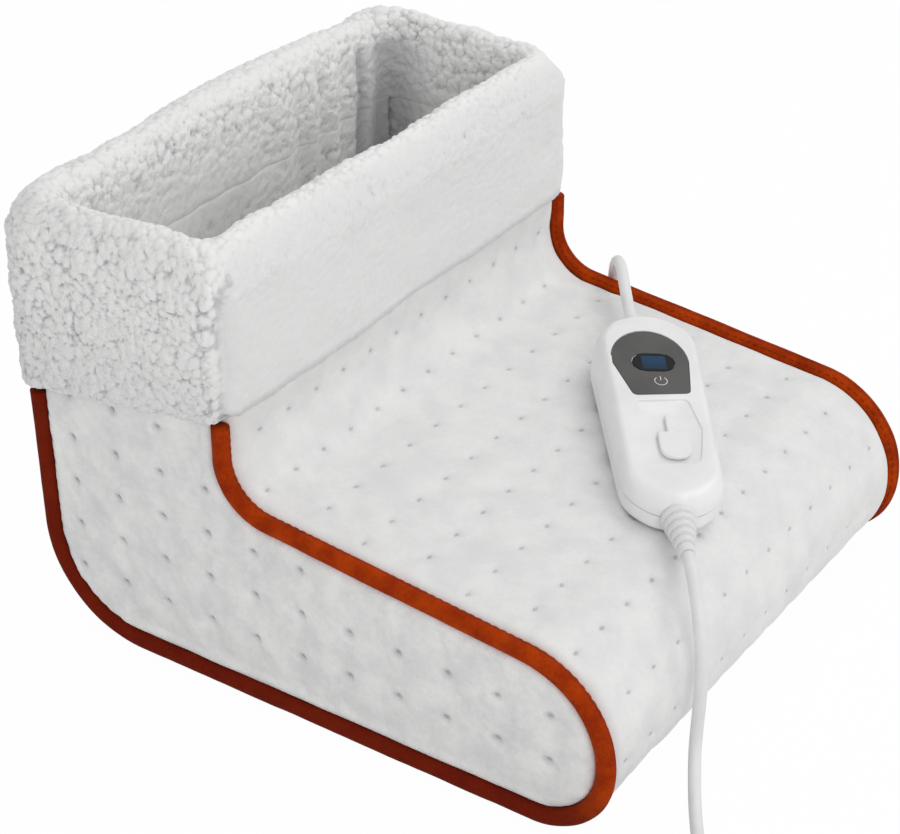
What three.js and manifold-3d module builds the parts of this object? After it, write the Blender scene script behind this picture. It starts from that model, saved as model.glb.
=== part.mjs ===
// Electric foot warmer: one padded boot for both feet, with a folded fleece collar,
// a heated sole and a hand controller on its lead.
// Millimetres. X runs across the boot, Y from toe to heel, Z up from the floor.

import * as THREE from 'three';
import * as BufferGeometryUtils from 'three/addons/utils/BufferGeometryUtils.js';
import Module from 'manifold-3d';

const wasm = await Module();
wasm.setup();

// Clearances
const gap = 0.3;
const overrun = 2;
const mergeTolerance = 0.0001;

// Side outline of the boot, drawn through the middle of the edge piping
const toeTopY = -173.5;
const toeTopHeight = 85.8;
const toeFootY = -166.7;
const heelFootY = 147.2;
const heelTopY = 151.9;
const shaftFrontY = 37.7;
const instepHeight = 106.8;
const shellHeight = 218;
const soleRise = 4.6;
const ankleRadius = 27;
const toeTopRadius = 47;
const toeFootRadius = 37;
const heelRadius = 54;
const seamBack = 22;
const arcSteps = 7;

// Shell walls and edge piping
const pipingX = 144.2;
const pipingRadius = 4.3;
const pipingSides = 8;
const pipingStop = 3.2;
const bandProud = 3;
const bandDepth = 9;
const soleDepth = 8.6;
const sideDepth = 7.3;
const edgeRoll = 2.4;
const edgeRollWidth = 5;
const edgeRollSteps = 2;

// Spot-welded tufts of the quilting
const tuftRadius = 3.2;
const tuftCut = 2.2;
const tuftRise = 0.8;
const tuftSides = 4;
const tuftPitchAcross = 22;
const tuftRowPitch = 28.5;
const tuftFirstRowY = -1.8;
const tuftShift = -7;
const sideTuftPitch = 27;
const sideTuftRise = 24.5;
const sideTuftFirstY = -6;
const sideTuftFirstHeight = 38;
const tuftMargin = 9;

// Folded fleece collar
const collarSideWall = 4;
const collarFrontWall = 6.7;
const collarBackWall = 12;
const collarNearRadius = 13;
const collarFarRadius = 25;
const slotSlack = 1;
const slotRadius = 9;
const legSlack = 0.6;
const innerLegRadius = 5;
const collarInnerRadius = 10;
const collarBow = 5.41;
const collarSteps = 5;
const collarSpans = [6, 4, 6, 4];
const collarBackEdge = 2;
const crestDrop = 2;
const crestRise = 19;
const crestSteps = 6;
const crestLean = 1.5;
const hemFrontHeight = 153;
const hemBackHeight = 131;
const hemRoll = 4;
const hemRollDepth = 1.6;

// Fleece lining
const liningDepth = 8;
const liningSoleDepth = 7;
const liningDrop = 18;
const liningTuck = 8;

// Heated sole
const stackFront = -127.8;
const stackBack = 88.2;
const stackCorner = 14;
const foamDepth = 4;
const feltDepth = 1.2;
const wireLayerDepth = 3;
const wireRadius = 1.2;
const wireSides = 6;
const wireRuns = 10;
const wireFrontMargin = 7.5;
const wireTurnSteps = 3;
const wireTurnInset = 24;
const wireReturnInset = 9;
const wireCornerRadius = 6;
const wireLastCornerX = 112;
const cutoutLength = 16;
const cutoutWidth = 8;
const cutoutRuns = [2.5, 6.5];
const sleeveLength = 18;
const sleeveWidth = 9;
const sleeveHeight = 6;
const sleeveInset = 6;
const innerLeadRadius = 2;
const innerLeadDrop = 0.6;

// Cable gland in the side panel
const glandY = 58.2;
const glandHeight = 19;
const glandNeckRadius = 4.6;
const glandFlangeRadius = 7.8;
const glandFlangeDepth = 2;
const glandSleeveRadius = 6.2;
const glandLength = 30;
const glandRibs = 4;

// Place of the controller on the instep
const controllerX = 27;
const controllerY = -92.8;
const controllerLift = 1.9;
const controllerTurn = THREE.MathUtils.degToRad(51.84);
const controllerTilt = THREE.MathUtils.degToRad(1.2);

// Controller housing, in its own frame: Y from the tail to the display, Z out of the face
const housingLength = 148;
const housingHeadWidth = 54;
const housingTailWidth = 49;
const housingNoseWidth = 22;
const housingShoulder = 15;
const headRadius = 25;
const shoulderRadius = 14;
const noseRadius = 9;
const headHeight = 30;
const tailHeight = 18;
const partingHeight = 9.2;
const housingWall = 2.4;
const crownRound = 6;
const crownHeightShares = [0, 0.5, 0.78, 0.93, 1];
const crownInsetShares = [0, 0.08, 0.3, 0.62, 1];
const baseRound = 3.5;
const baseRoundHeight = 4;
const baseRoundSteps = 3;
const lipHeight = 1.5;
const lipDepth = 1.2;
const housingSteps = 5;

// Controller face: inlay, window, slider track
const inlayDepth = 1;
const inlayCentreX = -1.5;
const inlayCentreShare = 0.392;
const inlayHalfWidth = 19.3;
const inlayTopShare = 0.7135;
const inlayFootShare = 0.0405;
const inlayFootSkew = 2.2;
const inlayFootLeft = -12.6;
const inlayFootRight = 15.4;
const inlayFootRadius = 2.6;
const inlaySteps = 14;
const windowShare = 0.3825;
const windowWidth = 22;
const windowHeight = 14;
const windowLedge = 1.5;
const openingDepth = 8;
const lensDepth = 0.9;
const trackDepth = 1;
const trackTopShare = 0.0135;
const trackFootShare = -0.6216;
const trackLeftTop = -12.2;
const trackLeftFoot = -14.8;
const trackRightTop = 13.4;
const trackRightWaist = 17.6;
const trackWaistShare = -0.2838;
const trackRightFoot = 13.6;
const trackRadius = 3;
const cornerSteps = 3;

// Slider
const sliderX = 2.4;
const sliderWidth = 15;
const sliderFootGap = 2.6;
const sliderPadShare = 0.3915;
const sliderRise = 2.3;
const sliderFootRadius = 6;
const sliderCorner = 1.2;
const sliderEdge = 0.5;
const tongueWidth = 5;
const tongueShare = 0.2553;
const sliderTravel = 12;
const stemShare = 0.51;
const stemWidth = 2.8;
const stemLength = 6;
const carrierWidth = 9;
const carrierLength = 10;
const carrierDepth = 1.8;
const wiperWidth = 5;
const wiperDepth = 0.4;

// Inside the controller
const boardThickness = 1.6;
const boardInset = 7.5;
const bossMargin = 3.5;
const headBossShare = 0.6757;
const tailBossShare = -0.6216;
const bossRadius = 3.4;
const bossFootRadius = 4.2;
const bossBore = 1.5;
const screwShankRadius = 1.2;
const screwHeadRadius = 2.6;
const screwHeadDepth = 2;
const counterbore = 2.9;
const counterboreDepth = 4.5;
const screwReach = 3;
const displayWidth = 26;
const displayLength = 24;
const switchWidth = 12;
const switchTailReach = 11;
const switchHeadReach = 10;
const fuseRadius = 2.4;
const fuseLength = 20;
const fuseShare = 0.0676;
const capacitorX = -13.5;
const capacitorShare = -0.3378;
const capacitorWidth = 7;
const capacitorLength = 15;
const capacitorHeight = 4.6;
const triacX = 13.5;
const triacShare = -0.3378;
const triacWidth = 5;
const triacLength = 10;
const triacHeight = 4.4;
const terminalHeadShare = 0.7838;
const terminalTailShare = -0.7703;
const terminalWidth = 12;
const terminalLength = 7;
const terminalHeight = 3.4;

// Strain reliefs of the controller
const reliefFlangeRadius = 5.4;
const reliefFlangeDepth = 2;
const reliefSeat = 1;
const reliefNeckRadius = 4.2;
const reliefTipRadius = 4.1;
const tailReliefRadius = 8.8;
const tailReliefLength = 26;
const tailReliefRibs = 5;
const headReliefRadius = 6.4;
const headReliefLength = 17;
const headReliefRibs = 4;
const ribCut = 1;
const ribTaper = 0.2;
const ribShares = [0.6, 0.68, 0.92];
const roundSides = 12;

// Cords
const cordRadius = 3.1;
const cordSides = 10;
const leadSteps = 36;
const mainsSteps = 24;

// The lead from the gland up behind the boot to the controller's head
const leadRoute = [
  [179.8, 58.2, 19],
  [192, 58.2, 18.6],
  [205.5, 54.6, 16.6],
  [215.2, 44.8, 13.4],
  [218.6, 31.6, 10],
  [215.2, 18.4, 6.8],
  [205.4, 8.6, 4.6],
  [192, 5.1, 3.6],
  [180, 5.1, 4.8],
  [169, 5.1, 9.2],
  [160.2, 5.1, 17.4],
  [154.8, 5.1, 29],
  [153.2, 5.1, 43],
  [153.2, 5.1, 60],
  [153.2, 5.1, 78],
  [153.2, 5.1, 95],
  [152, 4.3, 106.8],
  [147.8, 1, 116],
  [140.6, -4.6, 121.8],
  [131.9, -11.4, 123.6],
  [123.8, -17.7, 121.9],
  [116, -23.8, 119.2],
  [108.9, -29.4, 117],
  [103.4, -33.7, 116],
  [98.7, -37.4, 115.5],
];

// The mains cord from the controller's tail over the toe to the coil
const mainsRoute = [
  [-52, -155.8, 99.5],
  [-58.4, -160.9, 98.4],
  [-65, -166.4, 95.2],
  [-70.8, -171.6, 89.4],
  [-75, -175.8, 80.6],
  [-77.8, -178.8, 70],
  [-79.8, -180.6, 58],
  [-81.6, -181.4, 46],
  [-84, -182.2, 34],
  [-88, -184, 23.4],
  [-94.4, -187.8, 14.6],
  [-103.4, -193.4, 8.4],
  [-115, -201, 5],
  [-129, -210.6, 4.4],
  [-143, -220.6, 4.8],
  [-156, -229.8, 5.2],
  [-165, -236, 5.3],
];

// Coil, tie and plug
const coilStartX = -165.3;
const coilStartY = -236.2;
const coilHeading = THREE.MathUtils.degToRad(-145.5);
const coilHeight = 5.3;
const coilInnerRadius = 24;
const coilPitch = 7;
const coilLayer = 7;
const coilTurnsIn = 3;
const coilTurnsOut = 3.25;
const coilLoopSteps = 24;
const coilSides = 6;
const coilLead = 6.4;
const coilClear = 4;
const tailLength = 34;
const tailSteps = 5;
const tieWall = 1;
const tieWidth = 10;
const tieSlack = 0.9;
const tieCorner = 3;
const plugHeight = 7.8;
const plugThickness = 15;
const plugLength = 36;
const plugWidth = 26;
const plugNeckWidth = 15;
const plugShoulder = 20;
const plugEdge = 2;
const plugCorner = 4;
const plugReliefLength = 22;
const plugReliefRadius = 5.4;
const plugReliefRibs = 4;
const pinSpacing = 18.6;
const pinLength = 19;
const pinRadius = 2;
const pinSocket = 6;
const pinTipRadius = 1.2;
const pinTip = 1;

// Places derived from the sizes above
const bandHalf = pipingX - pipingRadius - gap;
const sideInner = bandHalf + gap;
const sideOuter = sideInner + sideDepth;
const bandInner = bandProud - bandDepth;
const soleInner = soleRise - soleDepth;
const liningOuterOffset = bandInner - gap;
const liningInnerOffset = liningOuterOffset - liningDepth;
const liningSideOuter = sideInner - gap;
const liningSideInner = liningSideOuter - liningDepth;
const stackHalf = liningSideInner - gap;
const liningTop = shellHeight - liningDrop;
const collarInnerHem = liningTop + 2 * gap;
const crestBase = shellHeight - crestDrop;
const collarHalf = sideOuter + gap + collarSideWall;
const slotFront = shaftFrontY - bandProud - gap;
const slotBack = heelTopY + bandProud + gap + slotSlack;
const collarFront = slotFront - collarFrontWall;
const collarBack = slotBack + collarBackWall;
const innerLegBack = heelTopY + bandInner - gap - legSlack;
const foamZ = soleDepth + gap;
const lowerFeltZ = foamZ + foamDepth + gap;
const wireLayerZ = lowerFeltZ + feltDepth + gap;
const upperFeltZ = wireLayerZ + wireLayerDepth + gap;
const liningSoleZ = upperFeltZ + feltDepth + gap;
const wireFirstY = stackFront + wireFrontMargin;
const wirePitch = (glandY - wireFirstY) / (wireRuns - 1.5);
const sleeveEnd = stackHalf - sleeveInset;
const instepSlope = (instepHeight - toeTopHeight) / (shaftFrontY - toeTopY);
const housingHalf = housingLength / 2;
const shoulderY = housingShoulder - housingHalf;
const faceSlope = Math.atan2(headHeight - tailHeight, housingLength);
const boardZ = partingHeight + lipHeight + gap;
const boardTop = boardZ + boardThickness;
const baseWall = housingWall + gap + lipDepth;
const bossX = housingTailWidth / 2 - boardInset - bossMargin;
const headBossY = housingHalf * headBossShare;
const tailBossY = housingHalf * tailBossShare;
const inlayCentreY = housingHalf * inlayCentreShare;
const inlayTop = housingHalf * inlayTopShare;
const inlayFoot = housingHalf * inlayFootShare;
const windowY = housingHalf * windowShare;
const trackTop = housingHalf * trackTopShare;
const trackFoot = housingHalf * trackFootShare;
const trackWaistY = housingHalf * trackWaistShare;
const trackLength = trackTop - trackFoot;
const sliderFoot = trackFoot + sliderFootGap;
const sliderShoulder = sliderFoot + trackLength * sliderPadShare;
const tongueTop = sliderShoulder + trackLength * tongueShare;
const stemY = sliderFoot + (sliderShoulder - sliderFoot) * stemShare;
const switchTail = stemY - switchTailReach;
const switchHead = stemY + sliderTravel + switchHeadReach;
const fuseY = housingHalf * fuseShare;
const capacitorY = housingHalf * capacitorShare;
const triacY = housingHalf * triacShare;
const terminalHeadY = housingHalf * terminalHeadShare;
const terminalTailY = housingHalf * terminalTailShare;

// Colours and finishes
const finishes = {
  fabric: { color: 0xe6e4e2, roughness: 0.95, metalness: 0 },
  fleece: { color: 0xdedcda, roughness: 1, metalness: 0 },
  lining: { color: 0xcfcdcb, roughness: 1, metalness: 0 },
  soleFabric: { color: 0xc9c8c6, roughness: 0.9, metalness: 0 },
  piping: { color: 0xa63208, roughness: 0.8, metalness: 0 },
  felt: { color: 0xb8b4ae, roughness: 1, metalness: 0 },
  foam: { color: 0xd8d2c0, roughness: 1, metalness: 0 },
  wire: { color: 0xe8e6df, roughness: 0.6, metalness: 0 },
  housing: { color: 0xececec, roughness: 0.35, metalness: 0 },
  inlay: { color: 0x4c4b4a, roughness: 0.45, metalness: 0 },
  lens: { color: 0x0a1420, roughness: 0.1, metalness: 0 },
  board: { color: 0x1f5a38, roughness: 0.5, metalness: 0 },
  dark: { color: 0x26262a, roughness: 0.5, metalness: 0 },
  metal: { color: 0xb9bbbd, roughness: 0.3, metalness: 1 },
  cord: { color: 0xe4e4e3, roughness: 0.45, metalness: 0 },
};

const axisX = new THREE.Vector3(1, 0, 0);
const axisY = new THREE.Vector3(0, 1, 0);
const axisZ = new THREE.Vector3(0, 0, 1);
const acrossFrame = new THREE.Matrix4().makeBasis(axisY, axisZ, axisX);

// Outline of straight edges and rounded corners, anticlockwise, with its inside on the left
class Outline {
  constructor(corners, closed) {
    this.corners = corners.map((corner) => ({ steps: arcSteps, radius: 0, ...corner }));
    this.closed = closed;
    this.limitRadii();
    this.line = this.points(0);
    this.lengths = [0];
    for (let i = 1; i < this.line.length; i += 1) {
      this.lengths.push(this.lengths[i - 1] + this.line[i].distanceTo(this.line[i - 1]));
    }
  }

  get length() {
    return this.lengths[this.lengths.length - 1];
  }

  corner(i) {
    const count = this.corners.length;
    return this.corners[(i + count) % count];
  }

  place(i) {
    return new THREE.Vector2(this.corner(i).x, this.corner(i).y);
  }

  direction(i) {
    return this.place(i + 1).sub(this.place(i)).normalize();
  }

  isEnd(i) {
    return !this.closed && (i === 0 || i === this.corners.length - 1);
  }

  // The turn at a corner in radians, positive to the left
  turn(i) {
    const before = this.direction(i - 1);
    const after = this.direction(i);
    return Math.atan2(before.cross(after), before.dot(after));
  }

  tangent(i) {
    return this.isEnd(i) ? 0 : this.corner(i).radius * Math.tan(Math.abs(this.turn(i)) / 2);
  }

  // Neighbouring fillets share the edge between them
  limitRadii() {
    const edges = this.closed ? this.corners.length : this.corners.length - 1;
    for (let i = 0; i < edges; i += 1) {
      const room = this.place(i + 1).distanceTo(this.place(i));
      const used = this.tangent(i) + this.tangent(i + 1);
      if (used > room) {
        this.corner(i).radius *= room / used;
        this.corner(i + 1).radius *= room / used;
      }
    }
  }

  // The outline moved outwards, with the same number of points at any offset
  points(offset) {
    return this.corners.flatMap((corner, i) => this.arc(i, offset));
  }

  arc(i, offset) {
    const corner = this.corner(i);
    const outwards = (way) => new THREE.Vector2(way.y, -way.x);
    if (this.isEnd(i)) {
      const way = this.direction(i === 0 ? 0 : i - 1);
      return [this.place(i).addScaledVector(outwards(way), offset)];
    }
    const before = outwards(this.direction(i - 1));
    const after = outwards(this.direction(i));
    const mitre = before.clone().add(after).multiplyScalar(1 / (1 + before.dot(after)));
    if (corner.radius === 0) {
      return [this.place(i).addScaledVector(mitre, offset)];
    }
    const turn = this.turn(i);
    const side = Math.sign(turn);
    const centre = this.place(i).addScaledVector(mitre, -side * corner.radius);
    const radius = corner.radius + side * offset;
    const start = Math.atan2(side * before.y, side * before.x);
    return Array.from({ length: corner.steps + 1 }, (_, k) => {
      const angle = start + (turn * k) / corner.steps;
      return centre.clone().add(new THREE.Vector2(radius * Math.cos(angle), radius * Math.sin(angle)));
    });
  }

  // Distance along the outline at which a corner's arc starts or ends
  arcStation(i, atEnd) {
    let index = 0;
    for (let k = 0; k < i; k += 1) {
      index += this.isEnd(k) ? 1 : this.corners[k].steps + 1;
    }
    return this.lengths[index + (atEnd ? this.corners[i].steps : 0)];
  }

  segment(station) {
    let i = 0;
    while (i < this.lengths.length - 2 && this.lengths[i + 1] < station) {
      i += 1;
    }
    return i;
  }

  at(offset, station) {
    const i = this.segment(station);
    const share = (station - this.lengths[i]) / (this.lengths[i + 1] - this.lengths[i]);
    const points = this.points(offset);
    return points[i].clone().lerp(points[i + 1], share);
  }

  normal(station) {
    const i = this.segment(station);
    const way = this.line[i + 1].clone().sub(this.line[i]).normalize();
    return new THREE.Vector2(way.y, -way.x);
  }

  run(offset, from, to) {
    const between = this.points(offset).filter((_, i) => this.lengths[i] > from && this.lengths[i] < to);
    return [this.at(offset, from), ...between, this.at(offset, to)];
  }

  // Closed section of a wall that follows the outline between two stations
  band(outer, inner, from, to) {
    return [...this.run(outer, from, to), ...this.run(inner, from, to).reverse()];
  }
}

// Joins equal corners and drops the triangles that shrink to a line
function welded(geometry) {
  const plain = geometry.index ? geometry.toNonIndexed() : geometry.clone();
  plain.deleteAttribute('normal');
  plain.deleteAttribute('uv');
  const merged = BufferGeometryUtils.mergeVertices(plain, mergeTolerance);
  const index = [];
  for (let i = 0; i < merged.index.count; i += 3) {
    const [a, b, c] = [0, 1, 2].map((k) => merged.index.getX(i + k));
    if (a !== b && b !== c && c !== a) {
      index.push(a, b, c);
    }
  }
  merged.setIndex(index);
  return merged;
}

// Flips a closed geometry whose faces point inwards
function facingOut(geometry) {
  const position = geometry.attributes.position;
  const index = Array.from(geometry.index.array);
  const corner = (i) => new THREE.Vector3().fromBufferAttribute(position, index[i]);
  let volume = 0;
  for (let i = 0; i < index.length; i += 3) {
    volume += corner(i).dot(corner(i + 1).cross(corner(i + 2)));
  }
  if (volume < 0) {
    for (let i = 0; i < index.length; i += 3) {
      [index[i], index[i + 1]] = [index[i + 1], index[i]];
    }
  }
  geometry.setIndex(index);
  return geometry;
}

function solid(geometry) {
  const closed = facingOut(welded(geometry));
  return new wasm.Manifold(
    new wasm.Mesh({
      numProp: 3,
      vertProperties: new Float32Array(closed.attributes.position.array),
      triVerts: new Uint32Array(closed.index.array),
    }),
  );
}

function geometryOf(manifold) {
  const mesh = manifold.getMesh();
  const geometry = new THREE.BufferGeometry();
  geometry.setAttribute('position', new THREE.BufferAttribute(new Float32Array(mesh.vertProperties), 3));
  geometry.setIndex(new THREE.BufferAttribute(new Uint32Array(mesh.triVerts), 1));
  return geometry;
}

function cut(geometry, tools) {
  return geometryOf(tools.reduce((body, tool) => body.subtract(solid(tool)), solid(geometry)));
}

function join(geometry, additions) {
  return geometryOf(additions.reduce((body, addition) => body.add(solid(addition)), solid(geometry)));
}

// Skins a stack of rings of equal length, closed by flat ends or back onto its first ring
function skin(rings, looped = false) {
  const count = rings[0].length;
  const index = [];
  const spans = looped ? rings.length : rings.length - 1;
  for (let r = 0; r < spans; r += 1) {
    const here = r * count;
    const next = ((r + 1) % rings.length) * count;
    for (let i = 0; i < count; i += 1) {
      const j = (i + 1) % count;
      index.push(here + i, here + j, next + j, here + i, next + j, next + i);
    }
  }
  if (!looped) {
    index.push(...ringCap(rings[0], 0).reverse(), ...ringCap(rings[spans], spans * count));
  }
  const geometry = new THREE.BufferGeometry();
  const positions = rings.flat().flatMap((point) => point.toArray());
  geometry.setAttribute('position', new THREE.Float32BufferAttribute(positions, 3));
  geometry.setIndex(index);
  return facingOut(geometry);
}

function ringCap(ring, first) {
  const flat = ring.map((point) => new THREE.Vector2(point.x, point.y));
  return THREE.ShapeUtils.triangulateShape(flat, []).flat().map((i) => i + first);
}

function block(low, high) {
  const size = high.clone().sub(low);
  const middle = low.clone().add(high).multiplyScalar(0.5);
  return new THREE.BoxGeometry(size.x, size.y, size.z).translate(middle.x, middle.y, middle.z);
}

// A block centred on a place in plan, between two heights
function pad(x, y, width, length, low, high) {
  const half = new THREE.Vector3(width / 2, length / 2, 0);
  return block(new THREE.Vector3(x, y, low).sub(half), new THREE.Vector3(x, y, high).add(half));
}

// Extrudes a section of (Y, Z) points evenly to both sides of X = 0
function acrossBoot(points, halfWidth, roll = 0, rollWidth = 0) {
  const geometry = new THREE.ExtrudeGeometry(new THREE.Shape(points), {
    depth: 2 * (halfWidth - rollWidth),
    bevelEnabled: roll > 0,
    bevelThickness: rollWidth,
    bevelSize: roll,
    bevelOffset: -roll,
    bevelSegments: edgeRollSteps,
  });
  geometry.translate(0, 0, rollWidth - halfWidth);
  return geometry.applyMatrix4(acrossFrame);
}

// Upright extrusion of a flat section of (X, Y) points between two heights
function upright(points, low, high, edge = 0) {
  const geometry = new THREE.ExtrudeGeometry(new THREE.Shape(points), {
    depth: high - low - 2 * edge,
    bevelEnabled: edge > 0,
    bevelThickness: edge,
    bevelSize: edge,
    bevelOffset: -edge,
    bevelSegments: 1,
  });
  return geometry.translate(0, 0, low + edge);
}

function post(x, y, radius, low, high) {
  const geometry = new THREE.CylinderGeometry(radius, radius, high - low, roundSides);
  return geometry.rotateX(Math.PI / 2).translate(x, y, (low + high) / 2);
}

// Revolves (radius, height) pairs about Y, starting and ending on the axis
function turned(pairs) {
  const profile = pairs.map(([radius, height]) => new THREE.Vector2(radius, height));
  return facingOut(welded(new THREE.LatheGeometry(profile, roundSides)));
}

function polygon(radius, sides) {
  return Array.from({ length: sides }, (_, i) => {
    const angle = (2 * Math.PI * (i + 0.5)) / sides;
    return new THREE.Vector2(radius * Math.cos(angle), radius * Math.sin(angle));
  });
}

// Points of a circular arc in the XY plane
function arcPoints(centre, radius, from, to, steps) {
  return Array.from({ length: steps + 1 }, (_, k) => {
    const angle = from + ((to - from) * k) / steps;
    const around = new THREE.Vector3(Math.cos(angle), Math.sin(angle), 0);
    return centre.clone().addScaledVector(around, radius);
  });
}

// A path through exact stations, for tubes whose steps differ in length
class Route extends THREE.Curve {
  constructor(points) {
    super();
    this.points = points;
  }

  getPointAt(u) {
    return this.points[Math.round(u * (this.points.length - 1))].clone();
  }

  getTangentAt(u) {
    const last = this.points.length - 1;
    const i = Math.round(u * last);
    const here = this.points[i];
    const before = i > 0 ? here.clone().sub(this.points[i - 1]).normalize() : new THREE.Vector3();
    const after = i < last ? this.points[i + 1].clone().sub(here).normalize() : new THREE.Vector3();
    return before.add(after).normalize();
  }
}

function tube(points, radius, sides) {
  return new THREE.ExtrudeGeometry(new THREE.Shape(polygon(radius, sides)), {
    steps: points.length - 1,
    extrudePath: new Route(points),
  });
}

// A round cord through hand-placed points, in even steps
function cordTube(places, steps) {
  const through = places.map((place) => new THREE.Vector3(...place));
  const curve = new THREE.CatmullRomCurve3(through, false, 'centripetal');
  return tube(curve.getSpacedPoints(steps), cordRadius, cordSides);
}

// Profile of a ribbed sleeve that tapers from its root at zero to its tip
function ribbedSleeve(rootRadius, tipRadius, length, ribs) {
  const pitch = length / (ribs + 1);
  const pairs = [];
  for (let i = 0; i < ribs; i += 1) {
    const radius = THREE.MathUtils.lerp(rootRadius, tipRadius, i / ribs);
    const next = THREE.MathUtils.lerp(rootRadius, tipRadius, (i + 1) / ribs);
    const [land, fall, rise] = ribShares.map((share) => (i + share) * pitch);
    pairs.push([radius, i * pitch], [radius - ribTaper, land], [next - ribCut, fall], [next - ribCut, rise]);
  }
  pairs.push([tipRadius, ribs * pitch], [tipRadius - ribTaper, length], [0, length]);
  return pairs;
}

// A sleeve outside a wall, with a neck through it and a flange inside
function wallRelief(flangeRadius, neckLength, rootRadius, length, ribs) {
  return turned([
    [0, -neckLength - reliefFlangeDepth],
    [flangeRadius, -neckLength - reliefFlangeDepth],
    [flangeRadius, -neckLength],
    [reliefNeckRadius, -neckLength],
    [reliefNeckRadius, 0],
    ...ribbedSleeve(rootRadius, reliefTipRadius, length, ribs),
  ]);
}

function named(name, geometry, finish) {
  const closed = facingOut(welded(geometry));
  closed.computeVertexNormals();
  const mesh = new THREE.Mesh(closed, new THREE.MeshStandardMaterial(finishes[finish]));
  mesh.name = name;
  return mesh;
}

function group(children) {
  const holder = new THREE.Group();
  holder.add(...children);
  return holder;
}

// Keeps the part of a (Y, Z) section on one side of a height
function clipped(points, height, keepAbove) {
  const inside = (point) => (keepAbove ? point.y >= height : point.y <= height);
  return points.flatMap((point, i) => {
    const next = points[(i + 1) % points.length];
    const kept = inside(point) ? [point] : [];
    if (inside(point) !== inside(next)) {
      kept.push(point.clone().lerp(next, (height - point.y) / (next.y - point.y)));
    }
    return kept;
  });
}

// The boot seen from the side: front of shaft, ankle, toe, sole, heel and back
const sideOutline = new Outline(
  [
    { x: shaftFrontY, y: shellHeight },
    { x: shaftFrontY, y: instepHeight, radius: ankleRadius },
    { x: toeTopY, y: toeTopHeight, radius: toeTopRadius },
    { x: toeFootY, y: soleRise, radius: toeFootRadius },
    { x: heelFootY, y: soleRise, radius: heelRadius },
    { x: heelTopY, y: shellHeight },
  ],
  false,
);
const toeSeam = sideOutline.arcStation(3, true) - seamBack;
const heelSeam = sideOutline.arcStation(4, false) + seamBack;

function frontStation(height) {
  return shellHeight - height;
}

function backStation(height) {
  const slant = Math.hypot(heelTopY - heelFootY, shellHeight - soleRise) / (shellHeight - soleRise);
  return sideOutline.length - (shellHeight - height) * slant;
}

function hemHeightAt(y) {
  const share = (y - collarFront) / (collarBack - collarFront);
  return THREE.MathUtils.lerp(hemFrontHeight, hemBackHeight, THREE.MathUtils.clamp(share, 0, 1));
}

// Sinks a small pyramid into a quilted surface at each place
function quilted(geometry, places) {
  const depth = tuftCut + tuftRise;
  const cone = new THREE.ConeGeometry((tuftRadius * depth) / tuftCut, depth, tuftSides);
  cone.rotateX(Math.PI).translate(0, depth / 2 - tuftCut, 0);
  const cutters = places.map(({ at, normal }) => {
    const turn = new THREE.Quaternion().setFromUnitVectors(axisY, normal);
    return cone.clone().applyQuaternion(turn).translate(at.x, at.y, at.z);
  });
  return cut(geometry, [BufferGeometryUtils.mergeGeometries(cutters)]);
}

// Tufts in staggered rows across a band of the shell
function bandTufts(from, to, rowStation) {
  const reach = bandHalf - tuftMargin;
  const places = [];
  const firstRow = Math.ceil((from + tuftMargin - rowStation) / tuftRowPitch);
  const lastRow = Math.floor((to - tuftMargin - rowStation) / tuftRowPitch);
  for (let row = firstRow; row <= lastRow; row += 1) {
    const station = rowStation + row * tuftRowPitch;
    const spot = sideOutline.at(bandProud, station);
    const normal = sideOutline.normal(station);
    const shift = tuftShift + (row % 2 === 0 ? 0 : tuftPitchAcross / 2);
    const firstColumn = Math.ceil((-reach - shift) / tuftPitchAcross);
    const lastColumn = Math.floor((reach - shift) / tuftPitchAcross);
    for (let column = firstColumn; column <= lastColumn; column += 1) {
      places.push({
        at: new THREE.Vector3(shift + column * tuftPitchAcross, spot.x, spot.y),
        normal: new THREE.Vector3(0, normal.x, normal.y),
      });
    }
  }
  return places;
}

// Distance from a place to the nearest edge of a closed outline, negative outside it
function depthInside(outlinePoints, spot) {
  let odd = false;
  let nearest = Infinity;
  outlinePoints.forEach((a, i) => {
    const b = outlinePoints[(i + 1) % outlinePoints.length];
    if (a.y > spot.y !== b.y > spot.y && spot.x < ((b.x - a.x) * (spot.y - a.y)) / (b.y - a.y) + a.x) {
      odd = !odd;
    }
    const way = b.clone().sub(a);
    const share = THREE.MathUtils.clamp(spot.clone().sub(a).dot(way) / way.lengthSq(), 0, 1);
    nearest = Math.min(nearest, spot.distanceTo(a.clone().addScaledVector(way, share)));
  });
  return odd ? nearest : -nearest;
}

// Tufts in straight rows over a side panel, up to the collar's hem
function sideTufts(outlinePoints) {
  const places = [];
  for (let z = sideTuftFirstHeight - sideTuftRise; z < shellHeight; z += sideTuftRise) {
    for (let column = -tuftColumns; column <= tuftColumns; column += 1) {
      const y = sideTuftFirstY + column * sideTuftPitch;
      const deepEnough = depthInside(outlinePoints, new THREE.Vector2(y, z)) > tuftMargin;
      if (deepEnough && z < hemHeightAt(y)) {
        places.push({ at: new THREE.Vector3(sideOuter, y, z), normal: axisX });
      }
    }
  }
  return places;
}

const tuftColumns = Math.ceil((heelTopY - toeTopY) / sideTuftPitch);

// The panel on the positive side of X; the other one is its mirror image without the gland
function sidePanel() {
  const points = sideOutline.points(-pipingRadius - gap);
  const slab = acrossBoot(points, sideDepth / 2, edgeRoll, edgeRoll);
  slab.translate(sideInner + sideDepth / 2, 0, 0);
  return quilted(slab, sideTufts(points));
}

function glandHole() {
  const length = sideDepth + liningDepth + 2 * overrun;
  const hole = new THREE.CylinderGeometry(glandNeckRadius + gap, glandNeckRadius + gap, length, roundSides);
  return hole.rotateZ(Math.PI / 2).translate(sideOuter + overrun - length / 2, glandY, glandHeight);
}

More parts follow.
